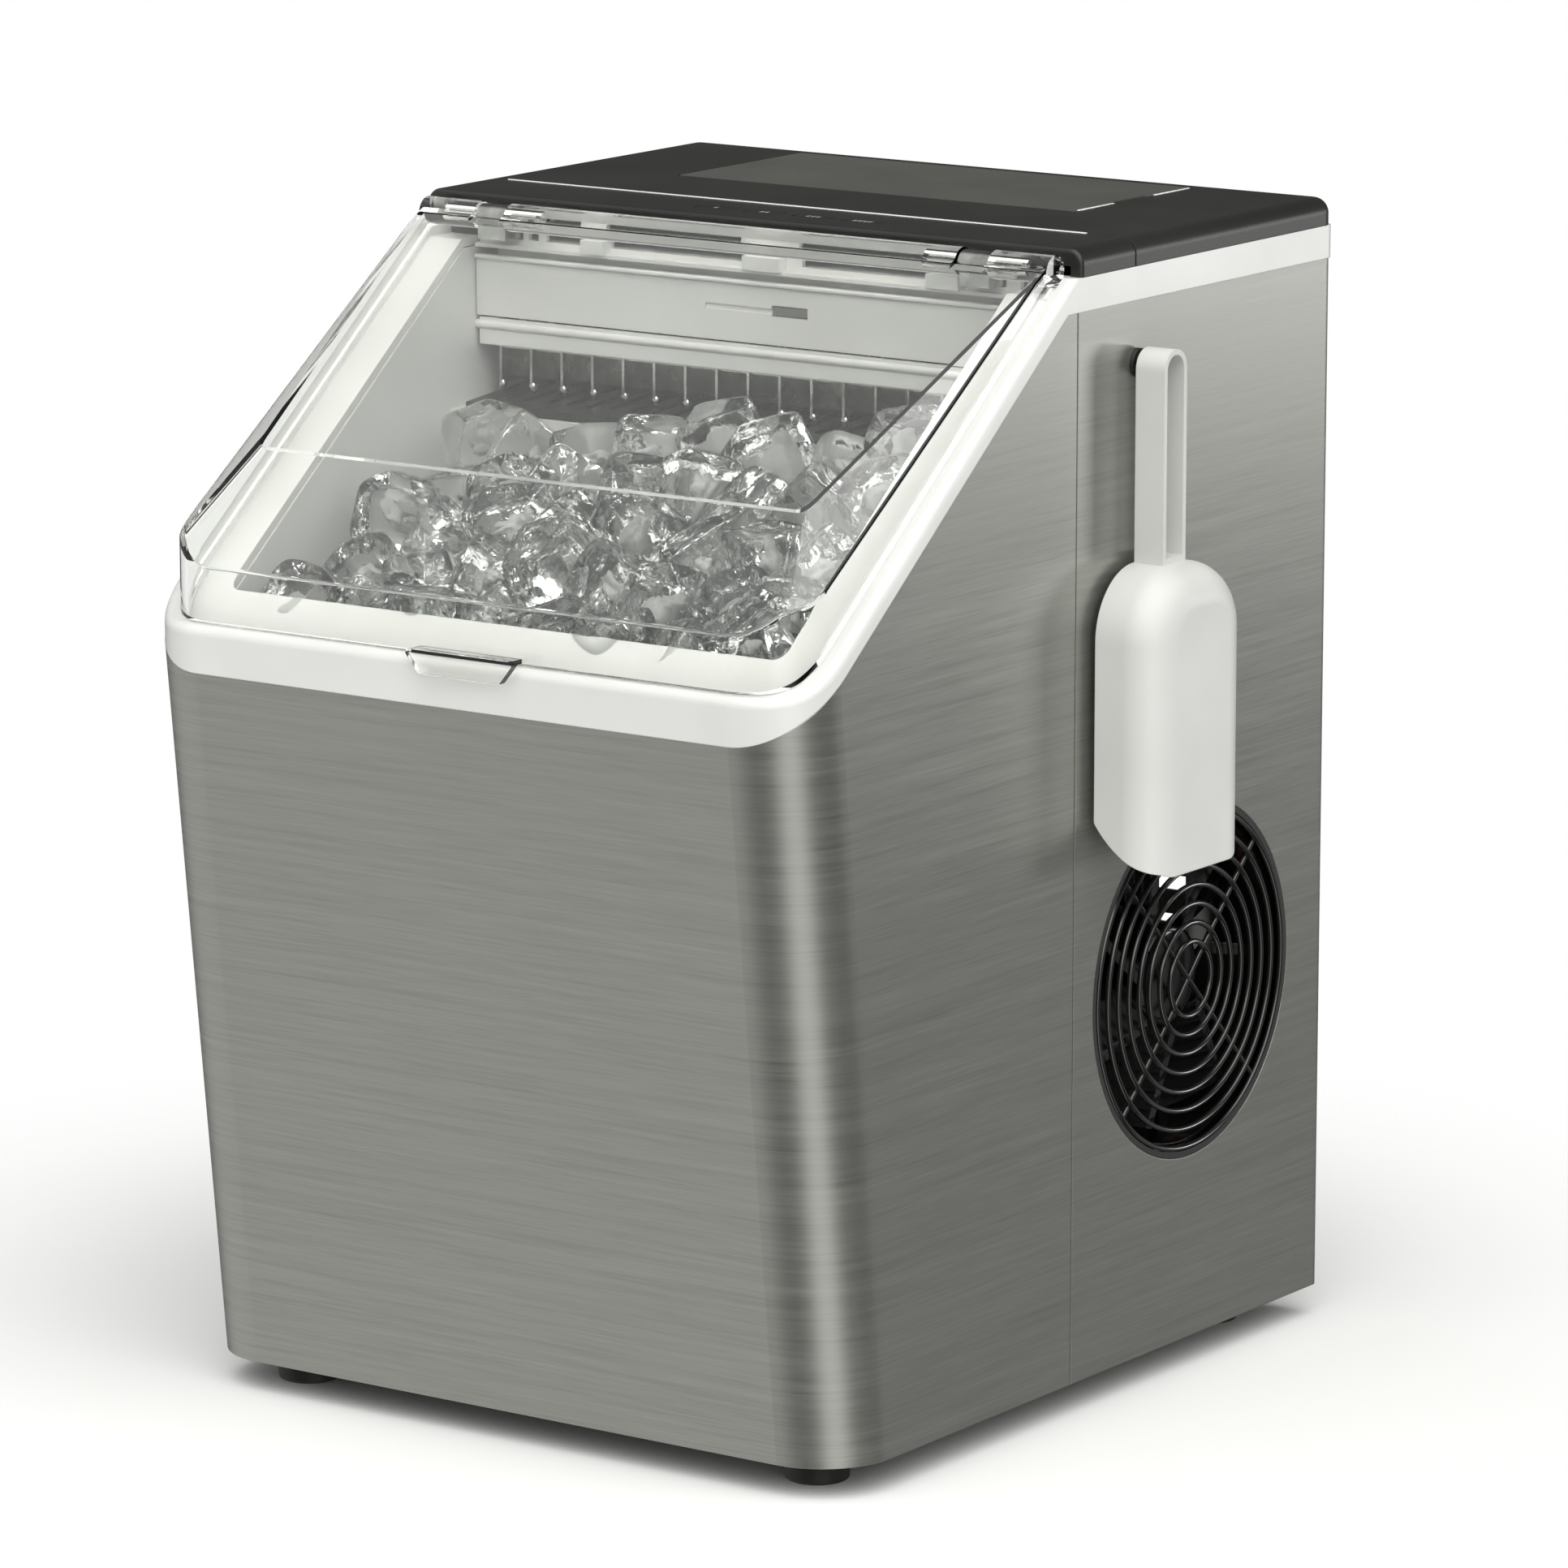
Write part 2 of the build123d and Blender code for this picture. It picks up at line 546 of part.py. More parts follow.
def largest(shape):
    """The biggest solid of a shape."""
    return Part() + shape.solids().sort_by(SortBy.VOLUME)[-1]


def make_lid_tab():
    """Grip tab bonded under the lid's front edge."""
    outline = [(-21, 250.6), (-15, 243.2), (15, 243.2), (21, 250.6)]
    tab = extrude(Plane(origin=(0, FRONT - 0.5, 0), x_dir=(1, 0, 0), z_dir=(0, -1, 0))
                  * Polygon(*outline, align=None), amount=3.0)
    tab = fillet(tab.edges().filter_by(Axis.Y), 1.0)
    root = block(-19, 19, FRONT - 0.5, LID_FRONT_Y, 249.2, 250.6)
    return Pos(4, 0, 0) * (tab + root)


def make_hinge_bracket(side):
    """Eye that carries the lid's pin, screwed up under the control strip."""
    x = side * KNUCKLE_X
    half = KNUCKLE_WIDTH / 2 - 0.6
    eye = Pos(x, HINGE_Y, HINGE_Z) * Rot(0, 90, 0) * Cylinder(4.4, 2 * half)
    eye += block(x - half, x + half, HINGE_Y - 2.5, HINGE_Y + 4.0, 351.0, HINGE_Z)
    eye += block(x - half, x + half, HINGE_Y - 2.5, 10, 350.5, 354.0)
    eye += block(x - half, x + half, 5.0, 10, 350.5, 359.3)
    return eye - Pos(x, HINGE_Y, HINGE_Z) * Rot(0, 90, 0) * Cylinder(PIN_R + 0.01, 20)


def make_hinge_pins():
    """Two steel pins through the brackets."""
    pins = []
    for side in (-1, 1):
        pins.append(rod((side * KNUCKLE_X - 17, HINGE_Y, HINGE_Z), (side * KNUCKLE_X + 17, HINGE_Y, HINGE_Z), PIN_R))
    return Compound(children=pins)


# ---- ice-making alcove ----
def make_evaporator_plate():
    """Upright freezing grid: back plate, fins and shelves."""
    half = FIN_PITCH * (FIN_COUNT - 1) / 2
    y0 = EVAPORATOR_FRONT_Y + 2.0
    grid = block(-half - 0.5, half + 0.5, 19, 20.4, EVAPORATOR_BOTTOM_Z, EVAPORATOR_TOP_Z)
    for index in range(FIN_COUNT):
        x = -half + index * FIN_PITCH
        grid += block(x - 0.5, x + 0.5, y0, 19.2, EVAPORATOR_BOTTOM_Z, EVAPORATOR_TOP_Z)
    for shelf in range(3):
        z = EVAPORATOR_BOTTOM_Z + 12 * (shelf + 1) - 0.8
        grid += block(-half, half, y0 + 1, 19.2, z, z + 0.8)
    return grid


def make_evaporator_coil():
    """Copper pipe in two passes behind the freezing grid."""
    return tube_path([(-92, 23.6, 309), (84, 23.6, 309), (84, 23.6, 331), (-85, 23.6, 331), (-85, 34, 331)],
                     [9, 9, 5], 2.9)


def make_evaporator_cover():
    """White splash panel in front of the grid, with the sensor slot."""
    panel = block(-103.2, 103.2, -0.5, 1.2, 324.9, 344.6)
    panel += block(-103.2, 103.2, -1.6, 1.2, 343.0, 344.6)
    panel = fillet([e for e in panel.edges().filter_by(Axis.X) if e.center().Y < -1.5], 0.7)
    panel -= block(-13.4, 12.0, -1.0, 0.0, 334.6, 336.2)
    return panel - block(12.0, 25.5, -1.0, 2.0, 334.0, 337.4)


def make_ice_sensor():
    """Level sensor window in the splash panel."""
    return block(12.3, 25.2, -0.2, 3.0, 334.3, 337.1)


def make_splash_curtain():
    """Hinged lip that falling ice pushes open."""
    flap = block(-102.2, 102.2, -0.4, 0.9, 315.4, 324.3)
    flap += rod((-105.2, 0.3, 321.8), (105.2, 0.3, 321.8), 1.5)
    return fillet([e for e in flap.edges().filter_by(Axis.X) if e.center().Z < 316], 0.5)


def make_water_distributor():
    """Covered trough that drips water over the grid."""
    trough = block(-98, 98, 4.2, 20, 341, 350.0)
    trough -= block(-96.8, 96.8, 5.4, 18.8, 342.2, 348.8)
    for index in range(FIN_COUNT - 1):
        x = -FIN_PITCH * (FIN_COUNT - 2) / 2 + index * FIN_PITCH
        trough -= Pos(x, 12, 341) * Cylinder(1.2, 4)
    trough += rod((PUMP_X, 18.9, DISTRIBUTOR_Z), (PUMP_X, 30, DISTRIBUTOR_Z), 3.4)
    return trough - rod((PUMP_X, 18, DISTRIBUTOR_Z), (PUMP_X, 31, DISTRIBUTOR_Z), 2.2)


def make_chamber_header():
    """White rail above the splash panel with its pockets and brackets."""
    rail = block(-103.2, 103.2, 1.6, 3.6, 346.9, 358.9)
    for x0, x1 in ((-99, -86), (-84, -80), (-77, -62), (-52, 0), (22, 70), (86, 98)):
        rail -= block(x0, x1, 0, 5, 350.0, 355.5)
    for x, width in ((-56, 9), (9, 14), (77, 12)):
        rail += block(x - width / 2, x + width / 2, -2.6, 3.6, 348.0, 352.5)
    rail += block(-103.2, 103.2, -1.2, 3.6, 346.9, 348.2)
    return rail


def make_ice_chute():
    """Black slatted ramp that sends ice into the bin and lets water through."""
    ramp = side_prism([(26, 302.2), (26, 300), (BIN_BACK_Y + 0.5, 296.6), (BIN_BACK_Y + 0.5, 298.8)], -98, 98)
    for index in range(23):
        ramp -= slot_cutter((-88 + index * 8, 8, 299), 26, 3.2, (0, 1, 0), (0, 0, 1))
    return ramp


# ---- water system ----
def make_reservoir():
    """Open water tank behind the bin."""
    tank = fillet(block(-100, 100, 4, 146, 200, 290).edges().filter_by(Axis.Z), 8)
    inner = fillet(block(-98, 98, 6, 144, 202, 292).edges().filter_by(Axis.Z), 6)
    tank -= inner
    tank += rod((DRAIN_X, TANK_DRAIN_Y, 201), (DRAIN_X, TANK_DRAIN_Y, 194), 5.0)
    return tank - rod((DRAIN_X, TANK_DRAIN_Y, 204), (DRAIN_X, TANK_DRAIN_Y, 190), 3.4)


def make_fill_funnel():
    """Chute from the fill mouth down into the tank."""
    chute = block(-73, 73, 77.5, 136.5, 286, 356) - block(-71.5, 71.5, 79, 135, 280, 360)
    flange = block(-76, 76, 75.5, 138.5, 356, 358.5) - block(-71.5, 71.5, 79, 135, 350, 360)
    return chute + flange


def make_pump_body():
    """Pump standing in the tank."""
    body = Pos(PUMP_X, PUMP_Y, 217) * Cylinder(18, 30)
    body = fillet(body.edges().sort_by(Axis.Z)[-1], 4)
    body -= Pos(PUMP_X, PUMP_Y, 210.5) * Cylinder(13, 12)
    body -= Pos(PUMP_X, PUMP_Y, 218) * Cylinder(1.55, 10)
    for turn in range(8):
        body -= Pos(PUMP_X, PUMP_Y, 208) * Rot(0, 0, turn * 45) * Pos(15, 0, 0) * Box(10, 2.4, 5)
    body += rod((PUMP_X, PUMP_Y, 231), (PUMP_X, PUMP_Y, 240), 3.4)
    return body - rod((PUMP_X, PUMP_Y, 226), (PUMP_X, PUMP_Y, 241), 2.2)


def make_pump_impeller():
    """Bladed impeller on its own shaft."""
    wheel = Pos(PUMP_X, PUMP_Y, 206.6) * Cylinder(11.5, 1.6)
    wheel += Pos(PUMP_X, PUMP_Y, 212.5) * Cylinder(1.5, 19 - 5)
    for turn in range(6):
        wheel += Pos(PUMP_X, PUMP_Y, 209.4) * Rot(0, 0, turn * 60) * Pos(6.4, 0, 0) * Box(9.6, 1.2, 4.4)
    return wheel


def make_water_hose():
    """Hose from the pump up to the distributor."""
    return tube_path([(PUMP_X, 30.2, DISTRIBUTOR_Z), (PUMP_X, PUMP_Y, DISTRIBUTOR_Z), (PUMP_X, PUMP_Y, 240.2)], [24], 4.6, 3.5)


def make_drain_hose():
    """Hose from the tank down to the drain."""
    points = [(DRAIN_X, TANK_DRAIN_Y, 193.8), (DRAIN_X, TANK_DRAIN_Y, DRAIN_Z), (DRAIN_X, 141.8, DRAIN_Z)]
    return tube_path(points, [10], 5.2, 3.5)


def make_drain_spout():
    """Drain fitting in the rear panel."""
    spout = rod((DRAIN_X, 142, DRAIN_Z), (DRAIN_X, 149.4, DRAIN_Z), 7.0)
    return spout - rod((DRAIN_X, 140, DRAIN_Z), (DRAIN_X, 152, DRAIN_Z), 4.4)


def make_drain_cap():
    """Rubber plug with a pull rim."""
    cap = rod((DRAIN_X, 143.5, DRAIN_Z), (DRAIN_X, 150, DRAIN_Z), 4.1)
    cap += rod((DRAIN_X, 149.8, DRAIN_Z), (DRAIN_X, 152.8, DRAIN_Z), 9.0)
    return cap - rod((DRAIN_X, 152.0, DRAIN_Z), (DRAIN_X, 153, DRAIN_Z), 5.0)


# ---- refrigeration ----
def make_compressor():
    """Hermetic pot with its terminal box and foot plate."""
    x, y, reach = COMPRESSOR_X, COMPRESSOR_Y, COMPRESSOR_R
    pot = Pos(x, y, 87) * Cylinder(reach, 118)
    pot = fillet(pot.edges().filter_by(GeomType.CIRCLE), 18)
    pot += block(x - reach, x + reach, y - 10, y + 10, 25, 29) + block(x - 10, x + 10, y - reach, y + reach, 25, 29)
    pot += block(x - 15, x + 15, y + 38, y + 52, 70, 104)
    return pot + rod((x + 43, y, 140), (x + 30, y, 140), 4.0)


def make_compressor_mounts():
    """Four rubber grommets under the foot plate."""
    sites = [(-39, 0), (39, 0), (0, -39), (0, 39)]
    return Compound(children=[Pos(COMPRESSOR_X + x, COMPRESSOR_Y + y, 18.1) * Cylinder(4.6, 13.6) for x, y in sites])


def make_condenser_fins():
    """Stack of thin fins on the condenser pipe."""
    fin = block(CONDENSER_X - 11, CONDENSER_X + 11, 20.0, 20.5, 72, 180)
    fin = drill(fin, [(CONDENSER_X, 20, level) for level in CONDENSER_LEVELS], 4.05, (0, 1, 0))
    return Compound(children=[Pos(0, index * 4.9, 0) * fin for index in range(21)])


def make_condenser_pipe():
    """Serpentine pipe through the fins."""
    x = CONDENSER_X
    low, second, third, high = CONDENSER_LEVELS
    points = [(34, 8, high), (x, 8, high), (x, 136, high), (x, 136, third), (x, 6.2, third), (x, 6.2, second),
              (x, 136, second), (x, 136, low), (x, 8, low), (34, 8, low)]
    return tube_path(points, [6, 13, 13, 13, 13, 13, 13, 6], 4.0)


def make_filter_drier():
    """Copper drier on the condenser outlet."""
    low = CONDENSER_LEVELS[0]
    return rod((2, 8, low), (29, 8, low), 6.0) + rod((28, 8, low), (33.9, 8, low), 4.0)


def make_discharge_pipe():
    """Pipe from the compressor to the condenser."""
    high = CONDENSER_LEVELS[-1]
    points = [(-11.8, COMPRESSOR_Y, 140), (14, COMPRESSOR_Y, 140), (14, 44, high), (14, 8, high), (33.9, 8, high)]
    return tube_path(points, [9, 12, 8], 4.0)


def make_suction_pipe():
    """Pipe from the evaporator down to the compressor."""
    points = [(-85, 34.1, 331), (-85, 56, 331), (-112, COMPRESSOR_Y, 318),
              (-112, COMPRESSOR_Y, 110), (COMPRESSOR_X - COMPRESSOR_R - 0.05, COMPRESSOR_Y, 110)]
    return tube_path(points, [9, 10, 8], 2.9)


# ---- air ----
def make_fan_shroud():
    """Square frame, duct ring and the struts that hold the motor."""
    frame = block(118.5, 121.5, FAN_Y - 60, FAN_Y + 60, FAN_Z - 60, FAN_Z + 60)
    frame = fillet(frame.edges().filter_by(Axis.X), 6)
    axis = Pos(0, FAN_Y, FAN_Z) * Rot(0, 90, 0)
    frame += axis * Pos(0, 0, 110) * Cylinder(55.5, 20)
    frame -= axis * Pos(0, 0, 110) * Cylinder(53.0, 40)
    for turn in range(4):
        strut = Rot(turn * 90 + 20, 0, 0) * block(100, 103, -2.5, 2.5, 18.4, 54)
        frame += Pos(0, FAN_Y, FAN_Z) * strut
    ring = axis * Pos(0, 0, 101.5) * (Cylinder(21, 3) - Cylinder(18.3, 4))
    frame += ring
    return drill(frame, [(120, FAN_Y + a * 52, FAN_Z + b * 52) for a in (-1, 1) for b in (-1, 1)], 2.2, (1, 0, 0))


def make_fan_motor():
    """Small motor behind the rotor."""
    axis = Pos(0, FAN_Y, FAN_Z) * Rot(0, 90, 0)
    motor = axis * Pos(0, 0, 93) * Cylinder(18, 18)
    motor = fillet(motor.edges().sort_by(Axis.X)[0], 2)
    return motor - axis * Pos(0, 0, 99) * Cylinder(1.55, 14)


def make_fan_rotor():
    """Seven-blade rotor on its shaft."""
    axis = Pos(0, FAN_Y, FAN_Z) * Rot(0, 90, 0)
    rotor = axis * Pos(0, 0, 110.5) * Cylinder(17, 13)
    rotor = fillet(rotor.edges().sort_by(Axis.X)[-1], 3)
    rotor += axis * Pos(0, 0, 99.5) * Cylinder(1.5, 11)
    for turn in range(7):
        blade = Pos(0, 0, 32.5) * Rot(0, 0, 32) * Box(2.0, 27, 33)
        blade &= block(-6.3, 6.3, -20, 20, 0, 60)
        blade = Rot(turn * 360 / 7, 0, 0) * blade
        rotor += Pos(110.5, FAN_Y, FAN_Z) * blade
    return rotor & (axis * Pos(0, 0, 100) * Cylinder(ROTOR_R, 60))


def make_fan_grille():
    """Ring guard of round wire with two crossing stays."""
    axis = Pos(0, FAN_Y, FAN_Z) * Rot(0, 90, 0)
    guard = axis * Pos(0, 0, 123.7) * (Cylinder(FAN_OPENING_R - 0.2, 1.6) - Cylinder(FAN_OPENING_R - 2.0, 2))
    for turn in range(2):
        angle = math.radians(45 + 90 * turn)
        dy, dz = math.cos(angle) * (FAN_OPENING_R - 1.2), math.sin(angle) * (FAN_OPENING_R - 1.2)
        guard += rod((123.2, FAN_Y - dy, FAN_Z - dz), (123.2, FAN_Y + dy, FAN_Z + dz), WIRE_R)
    for index in range(RING_COUNT):
        ring = axis * Pos(0, 0, 124.2) * Torus(12.0 + index * RING_PITCH, WIRE_R)
        guard += ring
    return guard


# ---- electrics ----
def make_power_board():
    """Main board behind the ice-making alcove."""
    board = block(-50, 40, 62, 63.6, 296, 342)
    board += block(-44, -16, 44, 62.2, 300, 326) + block(22, 34, 50, 62.2, 302, 316)
    return board + Pos(6, 54, 312) * Rot(90, 0, 0) * Cylinder(6.5, 17)


def make_power_inlet():
    """Recessed mains inlet in the rear panel."""
    x, z = INLET_X, INLET_Z
    body = block(x - 13.8, x + 13.8, 128, 148.4, z - 9.8, z + 9.8)
    body += block(x - 21, x + 21, 148.3, 149.7, z - 12, z + 12)
    body -= block(x - 10.5, x + 10.5, 132, 152, z - 7, z + 7)
    for dx, dz in ((-6.5, -1.5), (0, 2.0), (6.5, -1.5)):
        body += block(x + dx - 1, x + dx + 1, 131, 145, z + dz - 2, z + dz + 2)
    return body


# ---- scoop ----
def scoop_form(inset):
    """Solid bowl of the scoop, every face but the rim moved in by inset."""
    rim_x = SCOOP_WALL_X - (5.0 if inset else 0.0)
    outer_x = SCOOP_WALL_X + SCOOP_DEPTH - inset
    reach = SCOOP_HALF_WIDTH - inset
    bowl = block(rim_x, outer_x, SCOOP_Y - reach, SCOOP_Y + reach, SCOOP_TIP_Z, SCOOP_NECK_Z - inset)
    shoulders = [e for e in bowl.edges().filter_by(Axis.X) if e.center().Z > SCOOP_TIP_Z + 1]
    bowl = fillet(shoulders, SCOOP_SHOULDER_R - inset)
    brim = [e for e in bowl.edges() if (e @ 0.5).X > outer_x - 0.1 and (e @ 0.5).Z > SCOOP_TIP_Z + 1]
    return fillet(brim, SCOOP_BRIM_R - inset)


def make_scoop():
    """Ice scoop in one moulding: open bowl and flat loop handle."""
    outer_x = SCOOP_WALL_X + SCOOP_DEPTH
    bowl = scoop_form(0.0) - Pos(0, 0, -1) * scoop_form(SCOOP_WALL)
    mouth = ThreePointArc((SCOOP_WALL_X - 5, SCOOP_TIP_Z + 44), (SCOOP_WALL_X + 3.5, SCOOP_TIP_Z + 12),
                          (outer_x - 1.5, SCOOP_TIP_Z + 1.5))
    below = Polyline((outer_x - 1.5, SCOOP_TIP_Z + 1.5), (outer_x + 5, SCOOP_TIP_Z - 4), (outer_x + 5, SCOOP_TIP_Z - 20),
                     (SCOOP_WALL_X - 5, SCOOP_TIP_Z - 20), (SCOOP_WALL_X - 5, SCOOP_TIP_Z + 44))
    cut = extrude(Plane.XZ * make_face([mouth, below]), amount=100, both=True)
    return bowl - Pos(0, SCOOP_Y, 0) * cut + scoop_loop()


def scoop_loop():
    """Flat loop of the handle, standing on the bowl's neck."""
    x0 = SCOOP_WALL_X + 0.6
    low, high = SCOOP_NECK_Z - 2.0, SCOOP_TOP_Z
    outer = block(x0, x0 + LOOP_DEPTH, SCOOP_Y - LOOP_HALF_WIDTH, SCOOP_Y + LOOP_HALF_WIDTH, low, high)
    top = [e for e in outer.edges().filter_by(Axis.X) if e.center().Z > high - 1]
    outer = fillet(top, LOOP_HALF_WIDTH - 0.05)
    half = LOOP_HALF_WIDTH - SCOOP_WALL
    hole = block(x0 - 5, x0 + LOOP_DEPTH + 5, SCOOP_Y - half, SCOOP_Y + half, low + 4.0, high - SCOOP_WALL)
    hole_top = [e for e in hole.edges().filter_by(Axis.X) if e.center().Z > high - SCOOP_WALL - 1]
    return outer - fillet(hole_top, half - 0.05)


def make_scoop_hook():
    """Peg on the side panel that the handle loop hangs on."""
    z = SCOOP_TOP_Z - SCOOP_WALL - 0.4 - 3.0
    peg = rod((HALF - 0.4, SCOOP_Y, z), (SCOOP_WALL_X + 5.5, SCOOP_Y, z), 3.0)
    return peg + rod((HALF - 0.4, SCOOP_Y, z), (HALF + 1.0, SCOOP_Y, z), 4.5)


# ---- assembly ----
def build_casing():
    """Outer shells, floor and feet."""
    keep("front_panel", make_front_panel())
    keep("side_panel_right", make_side_panel(1))
    keep("side_panel_left", make_side_panel(-1))
    keep("rear_panel", make_rear_panel())
    keep("panel_screws", make_panel_screws())
    keep("base_pan", make_base_pan())
    names = ("foot_front_left", "foot_front_right", "foot_rear_left", "foot_rear_right")
    for name, (x, y) in zip(names, foot_places()):
        keep(name, make_foot(x, y))
    keep("foot_screws", make_foot_screws())
    keep("top_housing", make_top_housing())
    keep("control_panel", make_control_panel())
    keep("top_cover", make_top_cover())
    keep("fill_cover", make_fill_cover())


def build_bin():
    """Bin, lid and hinge."""
    keep("bin_liner", make_bin_liner())
    keep("bin_insulation", make_bin_insulation())
    keep("ice_basket", make_ice_basket())
    keep("lid", make_lid())
    keep("lid_tab", make_lid_tab())
    keep("hinge_bracket_left", make_hinge_bracket(-1))
    keep("hinge_bracket_right", make_hinge_bracket(1))
    keep("hinge_pins", make_hinge_pins())


def build_ice_alcove():
    """Everything that freezes and drops the ice."""
    keep("evaporator_plate", make_evaporator_plate())
    keep("evaporator_coil", make_evaporator_coil())
    keep("evaporator_cover", make_evaporator_cover())
    keep("ice_sensor", make_ice_sensor())
    keep("splash_curtain", make_splash_curtain())
    keep("water_distributor", make_water_distributor())
    keep("chamber_header", make_chamber_header())
    keep("ice_chute", make_ice_chute())


def build_water_system():
    """Tank, pump, hoses and drain."""
    keep("water_reservoir", make_reservoir())
    keep("fill_funnel", make_fill_funnel())
    keep("pump_body", make_pump_body())
    keep("pump_impeller", make_pump_impeller())
    keep("water_hose", make_water_hose())
    keep("drain_hose", make_drain_hose())
    keep("drain_spout", make_drain_spout())
    keep("drain_cap", make_drain_cap())


def build_refrigeration():
    """Sealed circuit and its air path."""
    keep("compressor", make_compressor())
    keep("compressor_mounts", make_compressor_mounts())
    keep("condenser_fins", make_condenser_fins())
    keep("condenser_pipe", make_condenser_pipe())
    keep("filter_drier", make_filter_drier())
    keep("discharge_pipe", make_discharge_pipe())
    keep("suction_pipe", make_suction_pipe())
    keep("fan_shroud", make_fan_shroud())
    keep("fan_motor", make_fan_motor())
    keep("fan_rotor", make_fan_rotor())
    keep("fan_grille", make_fan_grille())


def build_controls_and_scoop():
    """Keys, boards, inlet, scoop and its hook."""
    keep("control_board", make_control_board())
    for index, name in enumerate(("power", "size", "timer", "clean")):
        keep(f"key_{name}", make_key(index))
    keep("power_board", make_power_board())
    keep("power_inlet", make_power_inlet())
    keep("scoop", make_scoop())
    keep("scoop_hook", make_scoop_hook())


build_casing()
build_bin()
build_ice_alcove()
build_water_system()
build_refrigeration()
build_controls_and_scoop()

os.makedirs("parts", exist_ok=True)
TO_ORIGIN = Matrix(Pos(-OUTLINE_MIDDLE_X, 0, FOOT_DROP).wrapped.Transformation())
for node, shape in PARTS.items():
    solids = [solid.transform_shape(TO_ORIGIN) for solid in shape.solids()]
    export_step(solids[0] if len(solids) == 1 else Compound(children=solids), f"parts/{node}.step")
print(len(PARTS), "parts")
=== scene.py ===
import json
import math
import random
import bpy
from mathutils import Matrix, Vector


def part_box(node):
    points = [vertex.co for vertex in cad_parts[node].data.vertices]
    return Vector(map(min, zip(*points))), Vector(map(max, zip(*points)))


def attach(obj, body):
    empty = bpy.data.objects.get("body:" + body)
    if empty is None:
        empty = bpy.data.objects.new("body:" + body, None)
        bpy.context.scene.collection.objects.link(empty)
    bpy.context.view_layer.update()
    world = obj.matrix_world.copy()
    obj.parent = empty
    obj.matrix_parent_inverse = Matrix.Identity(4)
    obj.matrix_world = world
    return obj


bl_info = {
    "name": "Countertop Ice Maker",
    "version": (1, 0, 0),
    "blender": (4, 5, 0),
    "location": "View3D > Sidebar > Ice Maker",
    "description": "Finishes a countertop ice maker around its packed frame and lights it",
    "category": "Object",
}

import bmesh
import bpy
from mathutils import Euler, Matrix, Vector, noise

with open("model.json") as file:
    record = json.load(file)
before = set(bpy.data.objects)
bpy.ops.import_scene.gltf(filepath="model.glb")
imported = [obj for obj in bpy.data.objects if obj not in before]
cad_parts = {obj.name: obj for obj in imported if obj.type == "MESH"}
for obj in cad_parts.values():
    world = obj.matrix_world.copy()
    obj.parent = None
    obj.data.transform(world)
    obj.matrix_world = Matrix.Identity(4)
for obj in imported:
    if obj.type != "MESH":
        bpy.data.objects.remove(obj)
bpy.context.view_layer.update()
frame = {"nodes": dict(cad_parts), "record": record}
MM = 0.001
# Middle of the casing: the shared origin is the middle of the outline with the scoop.
CASING_X = sum(corner.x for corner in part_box("top_cover")) / 2

# Ice heap, millimetres
ICE_LIP_Z = 261.0            # height of the ice at the front lip
ICE_RISE = 52.0              # how much higher it lies at the back
ICE_LAYERS = 4
ICE_ROWS = 5
ICE_LAYER_STEP = 20.0
ICE_WALL_GAP = 16.0          # cube centres stay this far from the basket's sides

# Fins of the ice-making plate
FIN_COUNT = 17
TIP_RADIUS = 1.5

# Studio
FLOOR_RADIUS = 0.7
CAMERA_TARGET = Vector((-10.7, 20.0, 183.6)) * MM
SOFTBOX_DIRECTION = Vector((0.42, -0.38, 0.82)).normalized()
KEY_DIRECTION = Vector((0.57, 0.80, 0.06)).normalized()
KEY_DISTANCE = 4.0
KEY_TARGET = Vector((87.5, 30.0, 200.0)) * MM


# ---- shared helpers ----
def linear(code):
    """An sRGB hex colour as the linear colour that shaders take."""
    channels = [int(code[start:start + 2], 16) / 255 for start in (1, 3, 5)]
    return tuple(c / 12.92 if c <= 0.04045 else ((c + 0.055) / 1.055) ** 2.4 for c in channels)


def add_node(tree, kind, inputs=(), **settings):
    """Adds a node. settings are its own properties; inputs maps a socket to a value or to the output that feeds it."""
    made = tree.nodes.new(kind)
    for name, value in settings.items():
        setattr(made, name, value)
    for socket, value in dict(inputs).items():
        if isinstance(value, bpy.types.NodeSocket):
            tree.links.new(value, made.inputs[socket])
        else:
            made.inputs[socket].default_value = value
    return made


def blank_material(name):
    """A new node material with nothing in it."""
    material = bpy.data.materials.new(name)
    material.use_nodes = True
    material.node_tree.nodes.clear()
    return material


def show_shader(tree, shader):
    """Joins a shader to the material's output."""
    add_node(tree, "ShaderNodeOutputMaterial", {"Surface": shader})


def noise_field(tree, size_mm, detail=2.0, roughness=0.5, stretch=(1.0, 1.0, 1.0)):
    """Soft noise whose grains are size_mm across, stretched along the axes, in the piece's own place."""
    place = add_node(tree, "ShaderNodeTexCoord").outputs["Object"]
    scale = [1.0 / (size_mm * MM * factor) for factor in stretch]
    mapping = add_node(tree, "ShaderNodeMapping", {"Vector": place, "Scale": scale})
    return add_node(tree, "ShaderNodeTexNoise", {
        "Vector": mapping.outputs["Vector"], "Scale": 1.0, "Detail": detail, "Roughness": roughness})


def between(tree, factor, low, high, dark=0.35, light=0.65):
    """A value that runs from low to high as the noise runs from dark to light."""
    return add_node(tree, "ShaderNodeMapRange", {
        "Value": factor, "From Min": dark, "From Max": light, "To Min": low, "To Max": high}).outputs["Result"]


